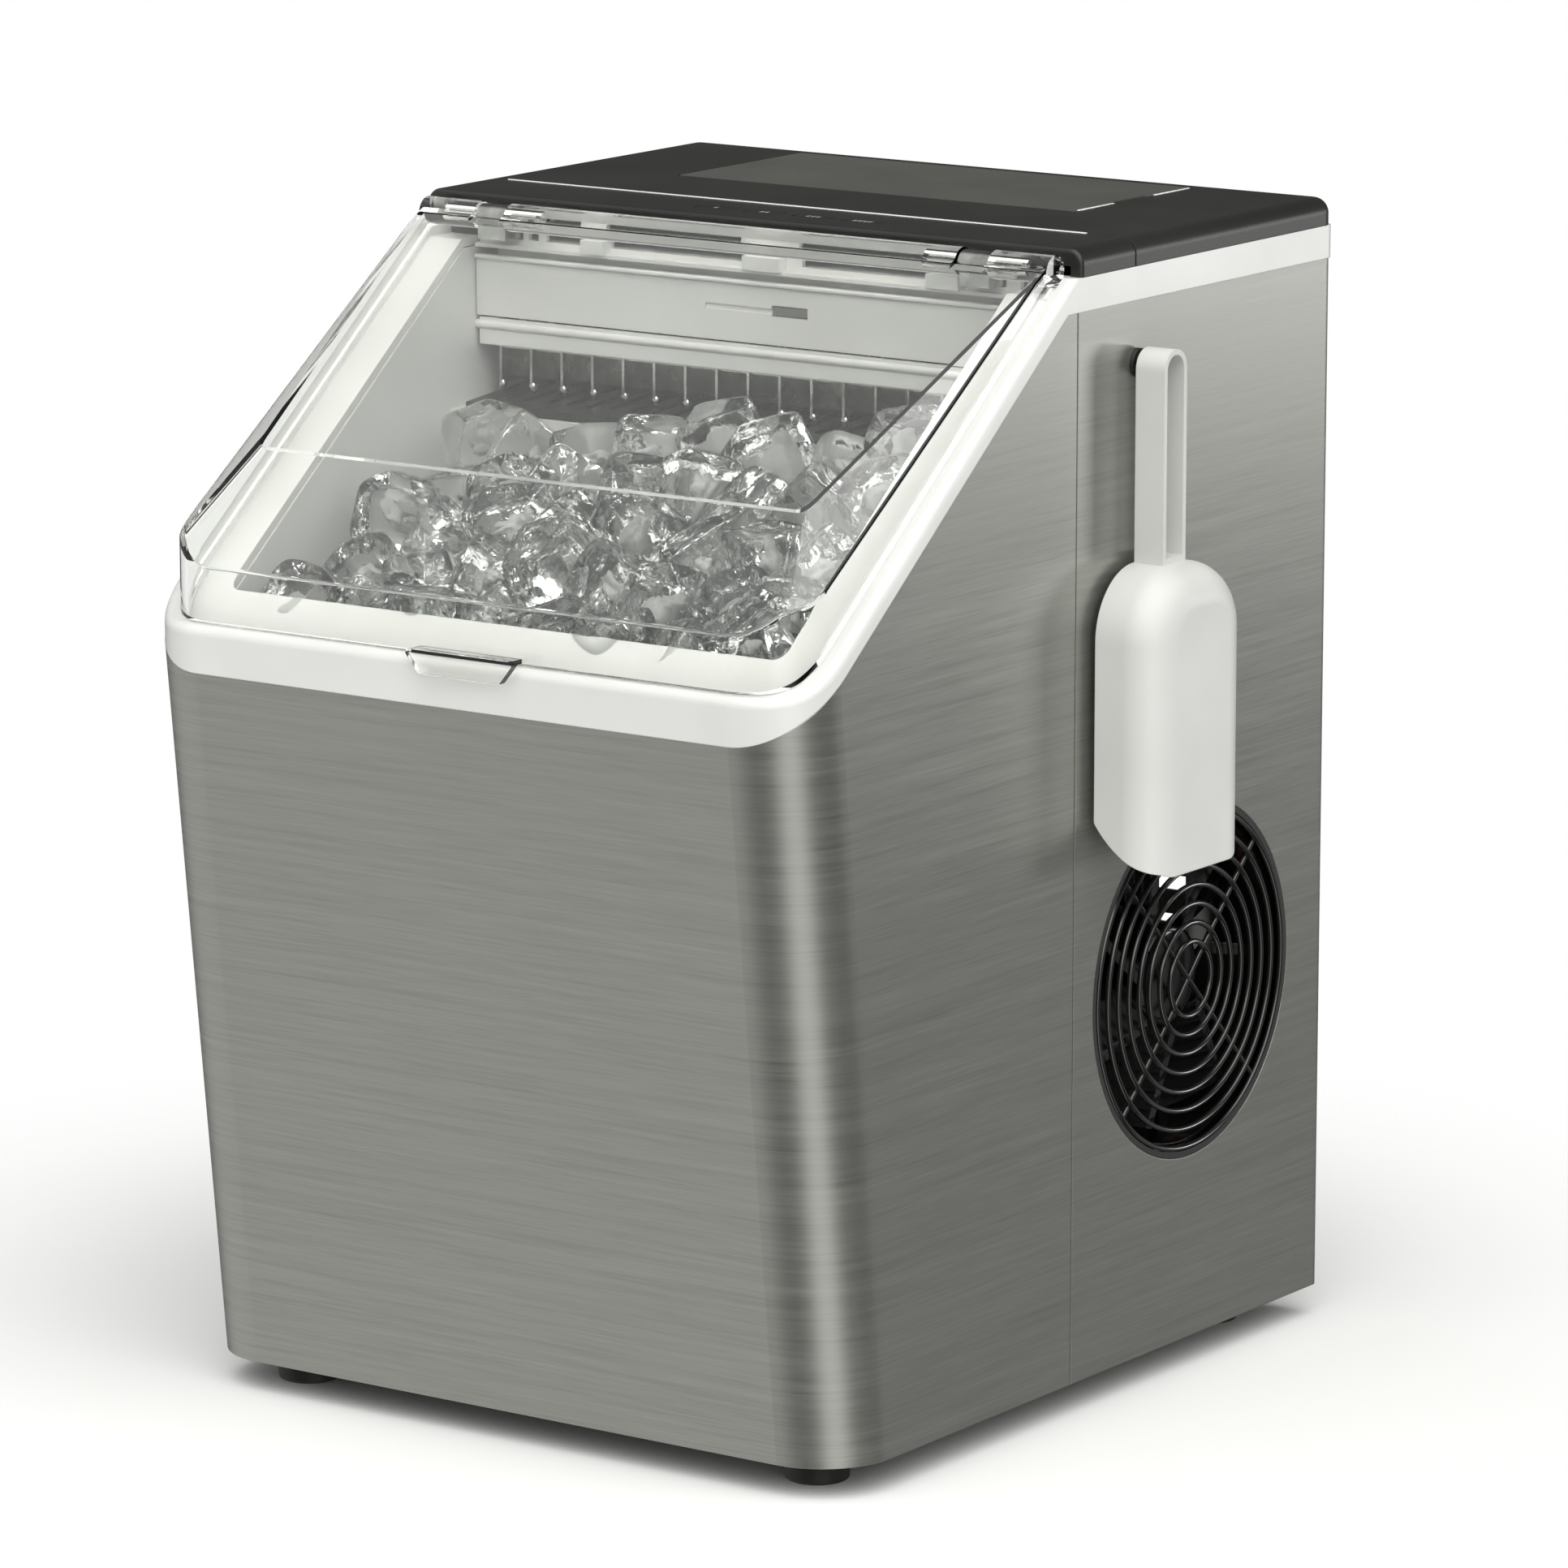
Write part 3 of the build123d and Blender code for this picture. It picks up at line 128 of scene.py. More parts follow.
def tinted(tree, factor, first, second):
    """A colour between two hex colours."""
    ramp = add_node(tree, "ShaderNodeValToRGB", {"Fac": factor})
    ramp.color_ramp.elements[0].position, ramp.color_ramp.elements[1].position = 0.3, 0.7
    ramp.color_ramp.elements[0].color = (*linear(first), 1.0)
    ramp.color_ramp.elements[1].color = (*linear(second), 1.0)
    return ramp.outputs["Color"]


def worn_edge_normal(tree, radius_mm):
    """A normal that rounds sharp edges by a small radius, as tooling leaves them."""
    return add_node(tree, "ShaderNodeBevel", {"Radius": radius_mm * MM}, samples=4).outputs["Normal"]


# ---- materials ----
def brushed_stainless():
    """Stainless sheet, brushed level: fine streaks run round the casing and stretch highlights up and down.
    The scratches also scatter some light every way, hence the metallic value below one."""
    material = blank_material("brushed_stainless")
    tree = material.node_tree
    # Real brush lines are about 0.1 mm apart; they are drawn about 0.7 mm apart so that they show.
    fine = noise_field(tree, 0.7, 3.0, 0.6, (42.0, 42.0, 1.0)).outputs["Fac"]
    broad = noise_field(tree, 2.6, 2.0, 0.5, (55.0, 55.0, 1.0)).outputs["Fac"]
    streaks = add_node(tree, "ShaderNodeMix", {"Factor": 0.42, "A": fine, "B": broad}).outputs["Result"]
    bump = add_node(tree, "ShaderNodeBump", {
        "Height": streaks, "Strength": 0.10, "Distance": 0.05 * MM, "Normal": worn_edge_normal(tree, 0.5)})
    shader = add_node(tree, "ShaderNodeBsdfPrincipled", {
        "Base Color": tinted(tree, streaks, "#999A94", "#B0B1AB"),
        "Metallic": 0.8,
        "Roughness": between(tree, streaks, 0.30, 0.36),
        "Anisotropic": 0.55,
        "Tangent": add_node(tree, "ShaderNodeTangent", direction_type="RADIAL", axis="Z").outputs["Tangent"],
        "Normal": bump.outputs["Normal"],
    })
    show_shader(tree, shader.outputs["BSDF"])
    return material


def moulded(name, first, second, roughness, grain_mm=0.6, depth_mm=0.01, ior=1.5, edge_mm=0.4, coat=0.0):
    """Injection-moulded plastic: faint tone drift, a fine spark-eroded grain and slightly rounded edges."""
    material = blank_material(name)
    tree = material.node_tree
    drift = noise_field(tree, 45.0).outputs["Fac"]
    grain = noise_field(tree, grain_mm, 3.0).outputs["Fac"]
    bump = add_node(tree, "ShaderNodeBump", {
        "Height": grain, "Strength": 0.4, "Distance": depth_mm * MM, "Normal": worn_edge_normal(tree, edge_mm)})
    shader = add_node(tree, "ShaderNodeBsdfPrincipled", {
        "Base Color": tinted(tree, drift, first, second),
        "Roughness": between(tree, grain, roughness - 0.03, roughness + 0.04),
        "IOR": ior,
        "Coat Weight": coat,
        "Coat Roughness": 0.12,
        "Normal": bump.outputs["Normal"],
    })
    show_shader(tree, shader.outputs["BSDF"])
    return material


def plain_metal(name, first, second, roughness, grain_mm=1.5, depth_mm=0.02, edge_mm=0.2):
    """Drawn or plated metal with slight tarnish in patches."""
    material = blank_material(name)
    tree = material.node_tree
    patches = noise_field(tree, 9.0, 3.0).outputs["Fac"]
    grain = noise_field(tree, grain_mm, 2.0).outputs["Fac"]
    bump = add_node(tree, "ShaderNodeBump", {
        "Height": grain, "Strength": 0.3, "Distance": depth_mm * MM, "Normal": worn_edge_normal(tree, edge_mm)})
    shader = add_node(tree, "ShaderNodeBsdfPrincipled", {
        "Base Color": tinted(tree, patches, first, second),
        "Metallic": 1.0,
        "Roughness": between(tree, patches, roughness - 0.05, roughness + 0.08),
        "Normal": bump.outputs["Normal"],
    })
    show_shader(tree, shader.outputs["BSDF"])
    return material


def clear_polycarbonate():
    """Clear moulded polycarbonate: bends what lies behind it at its corners, hardly at all on its flats."""
    material = blank_material("clear_polycarbonate")
    tree = material.node_tree
    flow = noise_field(tree, 60.0, 1.0).outputs["Fac"]
    bump = add_node(tree, "ShaderNodeBump", {"Height": flow, "Strength": 0.15, "Distance": 0.2 * MM})
    shader = add_node(tree, "ShaderNodeBsdfPrincipled", {
        "Base Color": (*linear("#F4F5F3"), 1.0),
        "Roughness": 0.015,
        "IOR": 1.49,
        "Transmission Weight": 1.0,
        "Normal": bump.outputs["Normal"],
    })
    show_shader(tree, shader.outputs["BSDF"])
    return material


def clear_ice():
    """Clear ice with melt ripples: low index, wet surface, soft swirls inside."""
    material = blank_material("clear_ice")
    tree = material.node_tree
    ripple = noise_field(tree, 7.0, 2.0, 0.55).outputs["Fac"]
    swirl = noise_field(tree, 2.2, 1.0, 0.5, (1.0, 1.0, 2.2)).outputs["Fac"]
    height = add_node(tree, "ShaderNodeMix", {"Factor": 0.25, "A": ripple, "B": swirl}).outputs["Result"]
    bump = add_node(tree, "ShaderNodeBump", {"Height": height, "Strength": 0.5, "Distance": 1.3 * MM})
    shader = add_node(tree, "ShaderNodeBsdfPrincipled", {
        "Base Color": (*linear("#FCFDFC"), 1.0),
        "Roughness": 0.02,
        "IOR": 1.31,
        "Transmission Weight": 1.0,
        "Normal": bump.outputs["Normal"],
    })
    show_shader(tree, shader.outputs["BSDF"])
    return material


def air_cloud_ice():
    """The cloudy heart of a cube, where air froze in: white and half see-through."""
    material = blank_material("air_cloud_ice")
    tree = material.node_tree
    cloud = noise_field(tree, 3.0, 4.0, 0.6).outputs["Fac"]
    shader = add_node(tree, "ShaderNodeBsdfPrincipled", {
        "Base Color": (*linear("#F6F7F6"), 1.0),
        "Roughness": between(tree, cloud, 0.35, 0.6),
        "IOR": 1.31,
        "Transmission Weight": 0.45,
    })
    show_shader(tree, shader.outputs["BSDF"])
    return material


MATERIALS = {}


def build_materials():
    """Every finish of the machine, by the record's material slot."""
    MATERIALS.update({
        "steel": brushed_stainless(),
        "white_abs": moulded("white_abs", "#E4E4E1", "#EEEEEC", 0.34, coat=0.15),
        "liner_white": moulded("white_liner", "#E0E1DE", "#EAEAE8", 0.38),
        "black_abs": moulded("satin_black_abs", "#222220", "#2B2B28", 0.36, 0.5, 0.012),
        "clear_lid": clear_polycarbonate(),
        "smoked_cover": moulded("smoked_polycarbonate", "#4F504B", "#595A54", 0.30, 0.9, 0.004),
        "rubber": moulded("black_rubber", "#151514", "#1E1E1C", 0.62, 0.8, 0.02),
        "zinc_screw": plain_metal("zinc_plate", "#A6A7A4", "#C2C2BE", 0.3),
        "foam": moulded("polyurethane_foam", "#CDBF94", "#DACDA6", 0.8, 1.2, 0.25),
        "basket_plastic": moulded("grey_polypropylene", "#B9BAB7", "#C6C7C4", 0.42),
        "nickel_grid": plain_metal("nickel_plate", "#9A9B97", "#D2D3CF", 0.2, 1.0, 0.05),
        "copper": plain_metal("drawn_copper", "#A9623A", "#C9835A", 0.28),
        "sensor_black": moulded("sensor_window", "#6E6F6B", "#7C7D79", 0.2, 0.6, 0.003),
        "hose": moulded("silicone_hose", "#CFD0CE", "#DCDCDA", 0.45),
        "compressor_black": moulded("black_enamel", "#131313", "#1B1B1A", 0.28, 2.0, 0.03),
        "fin_aluminium": plain_metal("mill_aluminium", "#B4B6B6", "#CFD1D1", 0.35),
        "fan_black": moulded("gloss_black_abs", "#070707", "#0C0C0B", 0.16, 1.4, 0.008),
        "grille_wire": moulded("enamelled_wire", "#181817", "#222221", 0.16, 1.0, 0.004,
                               ior=1.6, edge_mm=0.1, coat=0.5),
        "board_green": moulded("solder_mask", "#12422A", "#1A5235", 0.3, 0.9, 0.01),
        "scoop_white": moulded("scoop_polypropylene", "#D9D9D6", "#E2E2DF", 0.40, 0.7, 0.006),
        "key_black": moulded("key_black_abs", "#1B1B1A", "#242422", 0.30, 0.5, 0.008),
    })


def dress_nodes(*names):
    """Gives each CAD node the finish of its slot in the record."""
    slots = {entry["node"]: entry["material_slot"] for entry in frame["record"]["subparts"]}
    for name in names:
        node = frame["nodes"][name]
        node.data.materials.clear()
        node.data.materials.append(MATERIALS[slots[name]])


def keep_piece(mesh_builder, name, material, body):
    """Turns a bmesh into a smooth piece that rides on a body and wears the given material."""
    mesh = bpy.data.meshes.new(name)
    mesh_builder.to_mesh(mesh)
    mesh_builder.free()
    piece = bpy.data.objects.new(name, mesh)
    bpy.context.scene.collection.objects.link(piece)
    mesh.materials.append(material)
    for face in mesh.polygons:
        face.use_smooth = True
    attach(piece, body)
    return piece


# ---- settings ----
class IceMakerSizes(bpy.types.PropertyGroup):
    """Sizes of the pieces made here."""
    cube: bpy.props.FloatProperty(
        name="Ice cube", description="Edge of one ice cube", unit="LENGTH", default=25.0 * MM)
    seed: bpy.props.IntProperty(name="Heap", description="Which random heap of ice is made", default=7)


class IceMakerStudio(bpy.types.PropertyGroup):
    """Camera and light."""
    azimuth: bpy.props.FloatProperty(
        name="Camera azimuth", description="Camera's angle round the machine", subtype="ANGLE",
        default=math.radians(34.95))
    elevation: bpy.props.FloatProperty(
        name="Camera elevation", description="Camera's angle above the table", subtype="ANGLE",
        default=math.radians(11.71))
    distance: bpy.props.FloatProperty(
        name="Camera distance", description="From the camera to its target", unit="LENGTH", default=2.6)
    lens: bpy.props.FloatProperty(name="Lens", description="Focal length in millimetres", default=187.6)
    key: bpy.props.FloatProperty(
        name="Key light", description="Power of the light behind the scoop side, in watts", default=15.0)


# ---- pieces ----
class ICEMAKER_OT_casing(bpy.types.Operator):
    """Finish the steel panels, the floor tray and the feet"""
    bl_idname = "icemaker.casing"
    bl_label = "Casing"

    def execute(self, context):
        build_materials()
        dress_nodes("front_panel", "side_panel_right", "side_panel_left", "rear_panel", "panel_screws", "base_pan",
                    "foot_front_left", "foot_front_right", "foot_rear_left", "foot_rear_right", "foot_screws")
        return {"FINISHED"}


class ICEMAKER_OT_top(bpy.types.Operator):
    """Finish the white housing, the black top and its keys"""
    bl_idname = "icemaker.top"
    bl_label = "Housing and top"

    def execute(self, context):
        dress_nodes("top_housing", "control_panel", "top_cover", "fill_cover", "key_power", "key_size", "key_timer",
                    "key_clean", "control_board")
        return {"FINISHED"}


class ICEMAKER_OT_lid(bpy.types.Operator):
    """Finish the clear lid, its tab and its hinge"""
    bl_idname = "icemaker.lid"
    bl_label = "Lid"

    def execute(self, context):
        dress_nodes("lid", "lid_tab", "hinge_bracket_left", "hinge_bracket_right", "hinge_pins")
        return {"FINISHED"}


class ICEMAKER_OT_alcove(bpy.types.Operator):
    """Finish the bin and the ice-making alcove"""
    bl_idname = "icemaker.alcove"
    bl_label = "Bin and alcove"

    def execute(self, context):
        dress_nodes("bin_liner", "bin_insulation", "ice_basket", "evaporator_plate", "evaporator_coil",
                    "evaporator_cover", "ice_sensor", "splash_curtain", "water_distributor", "chamber_header",
                    "ice_chute")
        return {"FINISHED"}


class ICEMAKER_OT_machinery(bpy.types.Operator):
    """Finish the water system, the cooling circuit and the electrics"""
    bl_idname = "icemaker.machinery"
    bl_label = "Machinery"

    def execute(self, context):
        dress_nodes("water_reservoir", "fill_funnel", "pump_body", "pump_impeller", "water_hose", "drain_hose",
                    "drain_spout", "drain_cap", "compressor", "compressor_mounts", "condenser_fins", "condenser_pipe",
                    "filter_drier", "discharge_pipe", "suction_pipe", "fan_shroud", "fan_motor", "fan_rotor",
                    "fan_grille", "power_board", "power_inlet")
        return {"FINISHED"}


class ICEMAKER_OT_scoop(bpy.types.Operator):
    """Finish the scoop and its peg"""
    bl_idname = "icemaker.scoop"
    bl_label = "Scoop"

    def execute(self, context):
        dress_nodes("scoop", "scoop_hook")
        return {"FINISHED"}


def add_strip(builder, low, high, rounding):
    """A narrow straight strip between two corners, in millimetres, with softened edges."""
    made = bmesh.ops.create_cube(builder, size=1.0)["verts"]
    centre = (Vector(low) + Vector(high)) / 2 * MM
    span = (Vector(high) - Vector(low)) * MM
    bmesh.ops.transform(builder, matrix=Matrix.Translation(centre) @ Matrix.Diagonal((*span, 1)), verts=made)
    edges = list({edge for vert in made for edge in vert.link_edges})
    bmesh.ops.bevel(builder, geom=edges, offset=rounding * MM, offset_type="OFFSET", segments=2, profile=0.5,
                    affect="EDGES", material=-1)


class ICEMAKER_OT_highlight_strips_and_marks(bpy.types.Operator):
    """Add near-white strips as painted highlights, one across the top and two along the fill cover's edge, and the
    marks on the keys
    """
    bl_idname = "icemaker.trims"
    bl_label = "Highlight strips and marks"

    def execute(self, context):
        cover_low, cover_high = (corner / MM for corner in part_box("top_cover"))
        # Near-white strips are painted highlights: they stand in for light caught on the rounded edges of the black
        # top.
        edge_highlight_white = moulded("painted_edge_highlight", "#F2F2EF", "#FAFAF8", 0.22)
        line = bmesh.new()
        add_strip(line, (cover_low.x + 10, cover_low.y - 0.9, cover_high.z - 2.0),
                  (cover_high.x - 18, cover_low.y + 0.05, cover_high.z + 0.25), 0.12)
        keep_piece(line, "top_edge_highlight_strip", edge_highlight_white, "cabinet")
        # Two more painted highlight strips along the fill cover's edge, one on each side of its notch.
        low, high = (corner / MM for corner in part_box("fill_cover"))
        middle = (low.y + high.y) / 2
        edge = bmesh.new()
        for start, end in ((low.y + 2, middle - 12), (middle + 12, high.y - 2)):
            add_strip(edge, (high.x - 0.7, start, cover_high.z - 1.5), (high.x + 0.15, end, cover_high.z + 0.2), 0.12)
        keep_piece(edge, "fill_cover_edge_highlight_strip", edge_highlight_white, "fill_cover")
        print_white = moulded("key_print", "#8E8F8A", "#A2A39E", 0.4)
        for index, key in enumerate(("key_power", "key_size", "key_timer", "key_clean")):
            low, high = (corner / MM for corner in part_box(key))
            centre = (low + high) / 2
            mark = bmesh.new()
            for step in range(index + 1):
                x = centre.x + (step - index / 2) * 1.9
                add_strip(mark, (x - 0.6, centre.y - 1.1, high.z - 0.05),
                          (x + 0.6, centre.y + 1.1, high.z + 0.06), 0.03)
            keep_piece(mark, f"{key}_mark", print_white, key)
        return {"FINISHED"}


class ICEMAKER_OT_drip_tips(bpy.types.Operator):
    """Add the rounded tips that water freezes and drips from, one under each fin"""
    bl_idname = "icemaker.drip_tips"
    bl_label = "Drip tips"

    def execute(self, context):
        low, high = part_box("evaporator_plate")
        pitch = (high.x - low.x - 1.0 * MM) / (FIN_COUNT - 1)
        tips = bmesh.new()
        for fin in range(FIN_COUNT):
            place = Vector((low.x + 0.5 * MM + fin * pitch, low.y + 1.2 * MM, low.z - 0.6 * MM))
            drop = bmesh.ops.create_uvsphere(tips, u_segments=12, v_segments=8, radius=TIP_RADIUS * MM)["verts"]
            stretch = Matrix.Diagonal((1.0, 1.0, 1.35, 1.0))
            bmesh.ops.transform(tips, matrix=Matrix.Translation(place) @ stretch, verts=drop)
        keep_piece(tips, "evaporator_drip_tips", MATERIALS["nickel_grid"], "cabinet")
        return {"FINISHED"}


def heap_height(x, y):
    """Height of the ice in the bin: low at the front lip, heaped at the back and at one side."""
    low_corner, high_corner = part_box("ice_basket")
    reach = (y - low_corner.y) / (high_corner.y - low_corner.y)
    across = x - CASING_X
    rise = 7.0 * math.sin(across / 0.030) + 6.0 * math.cos(across / 0.017 + 1.0)
    return (ICE_LIP_Z + ICE_RISE * reach + rise * reach) * MM


def add_ice_cube(heap, dice, size, place):
    """One cube with melted corners and slightly uneven faces."""
    cube = bmesh.new()
    bmesh.ops.create_cube(cube, size=size)
    bmesh.ops.subdivide_edges(cube, edges=cube.edges[:], cuts=3, use_grid_fill=True)
    drift = Vector((dice.random(), dice.random(), dice.random())) * 50
    for vert in cube.verts:
        reach = vert.co / (size / 2)
        roundness = sum(abs(value) ** 8 for value in reach) ** 0.125
        melt = 1.0 + 0.07 * noise.noise(reach * 1.1 + drift)
        if reach.z > 0.9 and max(abs(reach.x), abs(reach.y)) < 0.6:
            melt -= 0.28
        vert.co = vert.co / max(roundness, 0.75) * melt
    turn = Euler([dice.uniform(-0.75, 0.75), dice.uniform(-0.75, 0.75), dice.uniform(0, 3.14)]).to_matrix().to_4x4()
    bmesh.ops.transform(cube, matrix=Matrix.Translation(place) @ turn, verts=cube.verts)
    part = bpy.data.meshes.new("cube")
    cube.to_mesh(part)
    cube.free()
    heap.from_mesh(part)
    bpy.data.meshes.remove(part)


def add_heart(hearts, dice, place):
    """The ragged air cloud inside one cube."""
    verts = bmesh.ops.create_icosphere(hearts, subdivisions=3, radius=3.5 * MM)["verts"]
    drift = Vector((dice.random(), dice.random(), dice.random())) * 40
    for vert in verts:
        vert.co *= 1.0 + 0.9 * noise.noise(vert.co / (2.2 * MM) + drift)
    squash = Matrix.Diagonal((dice.uniform(0.4, 1.1), dice.uniform(0.4, 1.1), dice.uniform(0.7, 1.7), 1))
    turn = Euler([dice.uniform(-1.5, 1.5), dice.uniform(-1.5, 1.5), 0]).to_matrix().to_4x4()
    bmesh.ops.transform(hearts, matrix=Matrix.Translation(place) @ turn @ squash, verts=verts)


class ICEMAKER_OT_ice(bpy.types.Operator):
    """Heap clear ice cubes in the bin"""
    bl_idname = "icemaker.ice"
    bl_label = "Ice"

    def execute(self, context):
        sizes = context.scene.ice_maker_sizes
        dice = random.Random(sizes.seed)
        cubes, hearts = bmesh.new(), bmesh.new()
        pitch = sizes.cube * 0.94
        low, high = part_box("ice_basket")
        columns = int((high.x - low.x) / pitch)
        for layer in range(ICE_LAYERS):
            for row in range(ICE_ROWS):
                for column in range(columns):
                    x = CASING_X + (column - (columns - 1) / 2 + (0.3 if (row + layer) % 2 else 0.0)) * pitch
                    y = high.y - 12 * MM - (ICE_ROWS - 1 - row) * pitch * 0.94
                    spot = Vector((x + dice.uniform(-3, 3) * MM, y + dice.uniform(-3, 3) * MM, 0))
                    spot.x = max(low.x + ICE_WALL_GAP * MM, min(high.x - ICE_WALL_GAP * MM, spot.x))
                    depth = 12 + layer * ICE_LAYER_STEP
                    spot.z = heap_height(spot.x, spot.y) - depth * MM + dice.uniform(-4, 4) * MM
                    add_ice_cube(cubes, dice, sizes.cube * dice.uniform(0.9, 1.04), spot)
                    if layer < 3 and dice.random() < 0.7:
                        add_heart(hearts, dice, spot)
        ice = keep_piece(cubes, "ice_heap", clear_ice(), "cabinet")
        smooth = ice.modifiers.new("Melted", "SUBSURF")
        smooth.levels = smooth.render_levels = 1
        keep_piece(hearts, "ice_hearts", air_cloud_ice(), "cabinet")
        return {"FINISHED"}


# ---- stage ----
def fill_ramp(ramp, stops):
    """Sets a ramp's grey levels at given positions, very slightly warm."""
    ramp.interpolation = "EASE"
    for position, _ in stops[2:]:
        ramp.elements.new(position)
    for element, (position, value) in zip(ramp.elements, stops):
        element.position = position
        element.color = (value, value, value * 0.985, 1.0)


def studio_world():
    """Soft studio round the machine: bright and dark panels by direction, plain white behind."""
    world = bpy.data.worlds.new("studio")
    world.use_nodes = True
    tree = world.node_tree
    tree.nodes.clear()
    direction = add_node(tree, "ShaderNodeTexCoord").outputs["Generated"]
    parts = add_node(tree, "ShaderNodeSeparateXYZ", {"Vector": direction})
    toward = add_node(tree, "ShaderNodeMath", {0: parts.outputs["Y"], 1: -1.0}, operation="MULTIPLY")
    bearing = add_node(tree, "ShaderNodeMath", {0: parts.outputs["X"], 1: toward.outputs[0]}, operation="ARCTAN2")
    turn = add_node(tree, "ShaderNodeMapRange", {
        "Value": bearing.outputs[0], "From Min": -math.pi, "From Max": math.pi})
    panels = add_node(tree, "ShaderNodeValToRGB", {"Fac": turn.outputs["Result"]})
    # Bearing in degrees from straight ahead of the front panel, towards the scoop side, and brightness there.
    stops = [(-180, 0.06), (-120, 0.12), (-85, 0.70), (-40, 0.72), (-18, 0.40), (2, 0.04), (30, 0.05), (50, 1.45),
             (64, 1.45), (84, 0.06), (128, 0.02), (139, 0.28), (151, 0.28), (162, 0.04), (180, 0.04)]
    fill_ramp(panels.color_ramp, [((angle + 180) / 360, value) for angle, value in stops])
    aim = add_node(tree, "ShaderNodeVectorMath", {
        0: direction, 1: SOFTBOX_DIRECTION}, operation="DOT_PRODUCT")
    overhead = add_node(tree, "ShaderNodeMapRange", {
        "Value": aim.outputs["Value"], "From Min": 0.62, "From Max": 0.86}, interpolation_type="SMOOTHSTEP")
    sky = add_node(tree, "ShaderNodeMix", {
        "Factor": overhead.outputs["Result"], 6: panels.outputs["Color"], 7: (2.5, 2.5, 2.46, 1.0)}, data_type="RGBA")
    # What is seen or lit through the lid: the white backdrop, a dark gap above it, a bright tent and a softbox.
    height = add_node(tree, "ShaderNodeMapRange", {"Value": parts.outputs["Z"], "From Min": -1.0, "From Max": 1.0})
    tent = add_node(tree, "ShaderNodeValToRGB", {"Fac": height.outputs["Result"]})
    fill_ramp(tent.color_ramp, [(0.0, 1.0), (0.60, 1.0), (0.64, 0.06), (0.70, 0.06), (0.75, 1.5), (1.0, 1.5)])
    softbox = add_node(tree, "ShaderNodeMapRange", {
        "Value": aim.outputs["Value"], "From Min": 0.80, "From Max": 0.86}, interpolation_type="SMOOTHSTEP")
    inside = add_node(tree, "ShaderNodeMix", {
        "Factor": softbox.outputs["Result"], 6: tent.outputs["Color"], 7: (6.0, 6.0, 5.9, 1.0)}, data_type="RGBA")
    path = add_node(tree, "ShaderNodeLightPath")
    through = add_node(tree, "ShaderNodeMix", {
        "Factor": path.outputs["Is Transmission Ray"], 6: sky.outputs[2], 7: inside.outputs[2]}, data_type="RGBA")
    shown = add_node(tree, "ShaderNodeMix", {
        "Factor": path.outputs["Is Camera Ray"], 6: through.outputs[2], 7: (1.0, 1.0, 1.0, 1.0)}, data_type="RGBA")
    background = add_node(tree, "ShaderNodeBackground", {"Color": shown.outputs[2], "Strength": 1.0})
    add_node(tree, "ShaderNodeOutputWorld", {"Surface": background.outputs["Background"]})
    return world


def pale_floor():
    """Matt white floor that fades into the backdrop."""
    material = blank_material("pale_floor")
    tree = material.node_tree
    place = add_node(tree, "ShaderNodeTexCoord").outputs["Object"]
    reach = add_node(tree, "ShaderNodeVectorMath", {0: place}, operation="LENGTH")
    fade = add_node(tree, "ShaderNodeMapRange", {
        "Value": reach.outputs["Value"], "From Min": 0.21, "From Max": 0.48}, interpolation_type="SMOOTHSTEP")
    matt = add_node(tree, "ShaderNodeBsdfDiffuse", {"Color": (0.95, 0.95, 0.945, 1.0)})
    clear = add_node(tree, "ShaderNodeBsdfTransparent")
    blend = add_node(tree, "ShaderNodeMixShader", {
        "Fac": fade.outputs["Result"], 1: matt.outputs["BSDF"], 2: clear.outputs["BSDF"]})
    show_shader(tree, blend.outputs["Shader"])
    return material


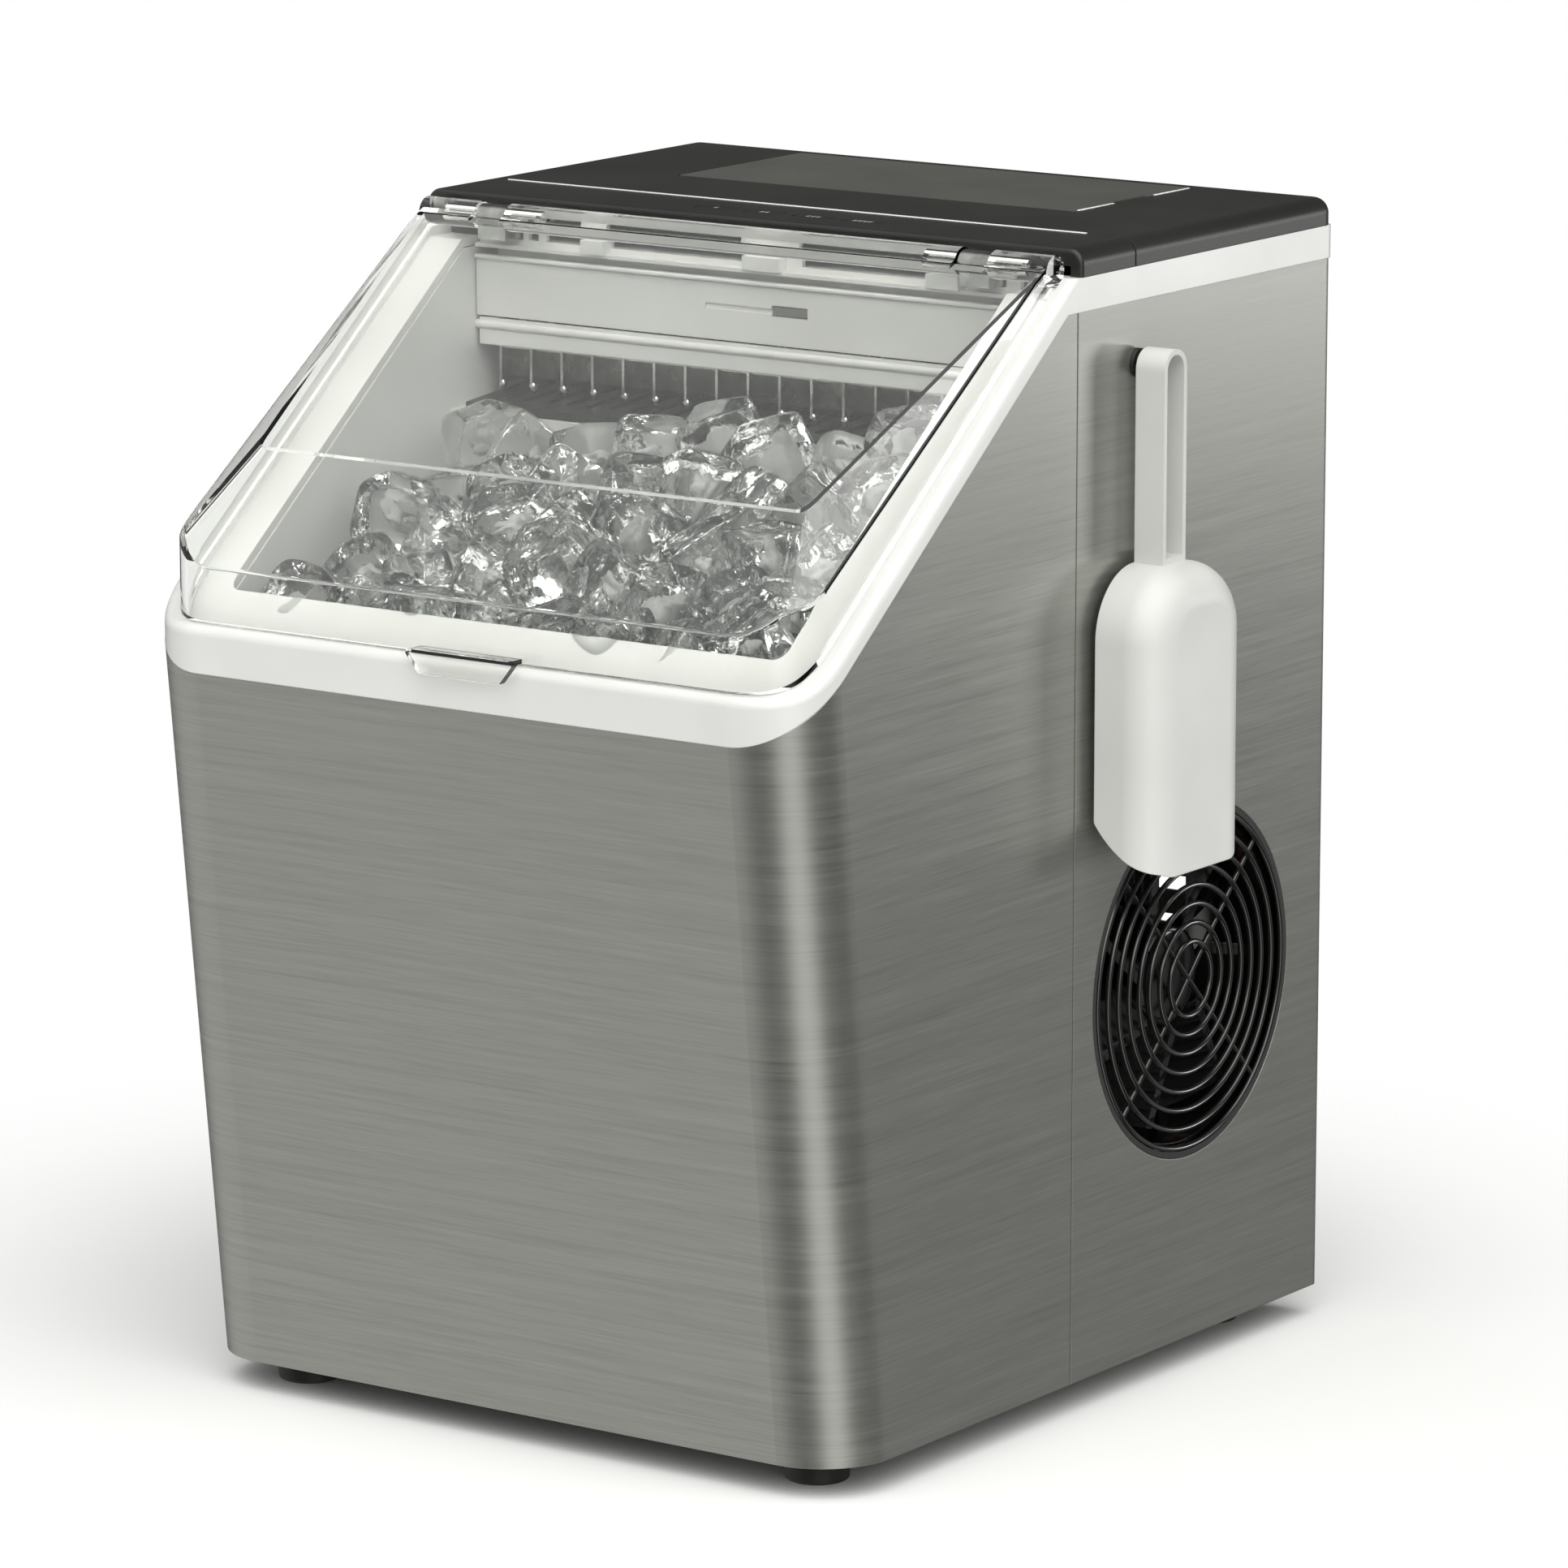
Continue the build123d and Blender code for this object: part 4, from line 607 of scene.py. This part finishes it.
class ICEMAKER_OT_stage(bpy.types.Operator):
    """Set up the floor, the light and the camera"""
    bl_idname = "icemaker.stage"
    bl_label = "Stage"

    def execute(self, context):
        studio = context.scene.ice_maker_studio
        builder = bmesh.new()
        bmesh.ops.create_circle(builder, cap_ends=True, segments=96, radius=FLOOR_RADIUS)
        mesh = bpy.data.meshes.new("floor")
        builder.to_mesh(mesh)
        builder.free()
        floor = bpy.data.objects.new("floor", mesh)
        mesh.materials.append(pale_floor())
        floor.visible_glossy = False
        context.scene.collection.objects.link(floor)
        context.scene.world = studio_world()
        lamp = bpy.data.lights.new("key", "AREA")
        lamp.shape, lamp.size, lamp.size_y, lamp.energy = "RECTANGLE", 0.7, 1.0, studio.key
        key = bpy.data.objects.new("key", lamp)
        key.location = KEY_DIRECTION * KEY_DISTANCE
        key.rotation_euler = (KEY_TARGET - key.location).to_track_quat("-Z", "Y").to_euler()
        context.scene.collection.objects.link(key)
        data = bpy.data.cameras.new("camera")
        data.lens, data.sensor_width = studio.lens, 36.0
        camera = bpy.data.objects.new("camera", data)
        away = Vector((math.sin(studio.azimuth) * math.cos(studio.elevation),
                       -math.cos(studio.azimuth) * math.cos(studio.elevation), math.sin(studio.elevation)))
        camera.location = CAMERA_TARGET + away * studio.distance
        camera.rotation_euler = (-away).to_track_quat("-Z", "Y").to_euler()
        context.scene.collection.objects.link(camera)
        context.scene.camera = camera
        context.scene.view_settings.view_transform = "Standard"
        context.scene.cycles.max_bounces = context.scene.cycles.transmission_bounces = 24
        return {"FINISHED"}


class ICEMAKER_PT_panel(bpy.types.Panel):
    """Lists the pieces and the settings"""
    bl_label = "Ice Maker"
    bl_idname = "ICEMAKER_PT_panel"
    bl_space_type = "VIEW_3D"
    bl_region_type = "UI"
    bl_category = "Ice Maker"

    def draw(self, context):
        for operator in PIECES:
            self.layout.operator(operator.bl_idname)
        for group in SETTINGS:
            for name in SETTINGS[group].__annotations__:
                self.layout.prop(getattr(context.scene, group), name)


SETTINGS = {"ice_maker_sizes": IceMakerSizes, "ice_maker_studio": IceMakerStudio}
PIECES = (ICEMAKER_OT_casing, ICEMAKER_OT_top, ICEMAKER_OT_lid, ICEMAKER_OT_alcove, ICEMAKER_OT_machinery,
          ICEMAKER_OT_scoop, ICEMAKER_OT_highlight_strips_and_marks, ICEMAKER_OT_drip_tips, ICEMAKER_OT_ice, ICEMAKER_OT_stage)


def register():
    for cls in (*SETTINGS.values(), *PIECES, ICEMAKER_PT_panel):
        bpy.utils.register_class(cls)
    for name, cls in SETTINGS.items():
        setattr(bpy.types.Scene, name, bpy.props.PointerProperty(type=cls))


def unregister():
    for name in SETTINGS:
        delattr(bpy.types.Scene, name)
    for cls in reversed((*SETTINGS.values(), *PIECES, ICEMAKER_PT_panel)):
        bpy.utils.unregister_class(cls)


def main():
    """Builds every piece in order."""
    register()
    for operator in PIECES:
        group, name = operator.bl_idname.split(".")
        getattr(getattr(bpy.ops, group), name)()


if __name__ == "__main__":
    main()
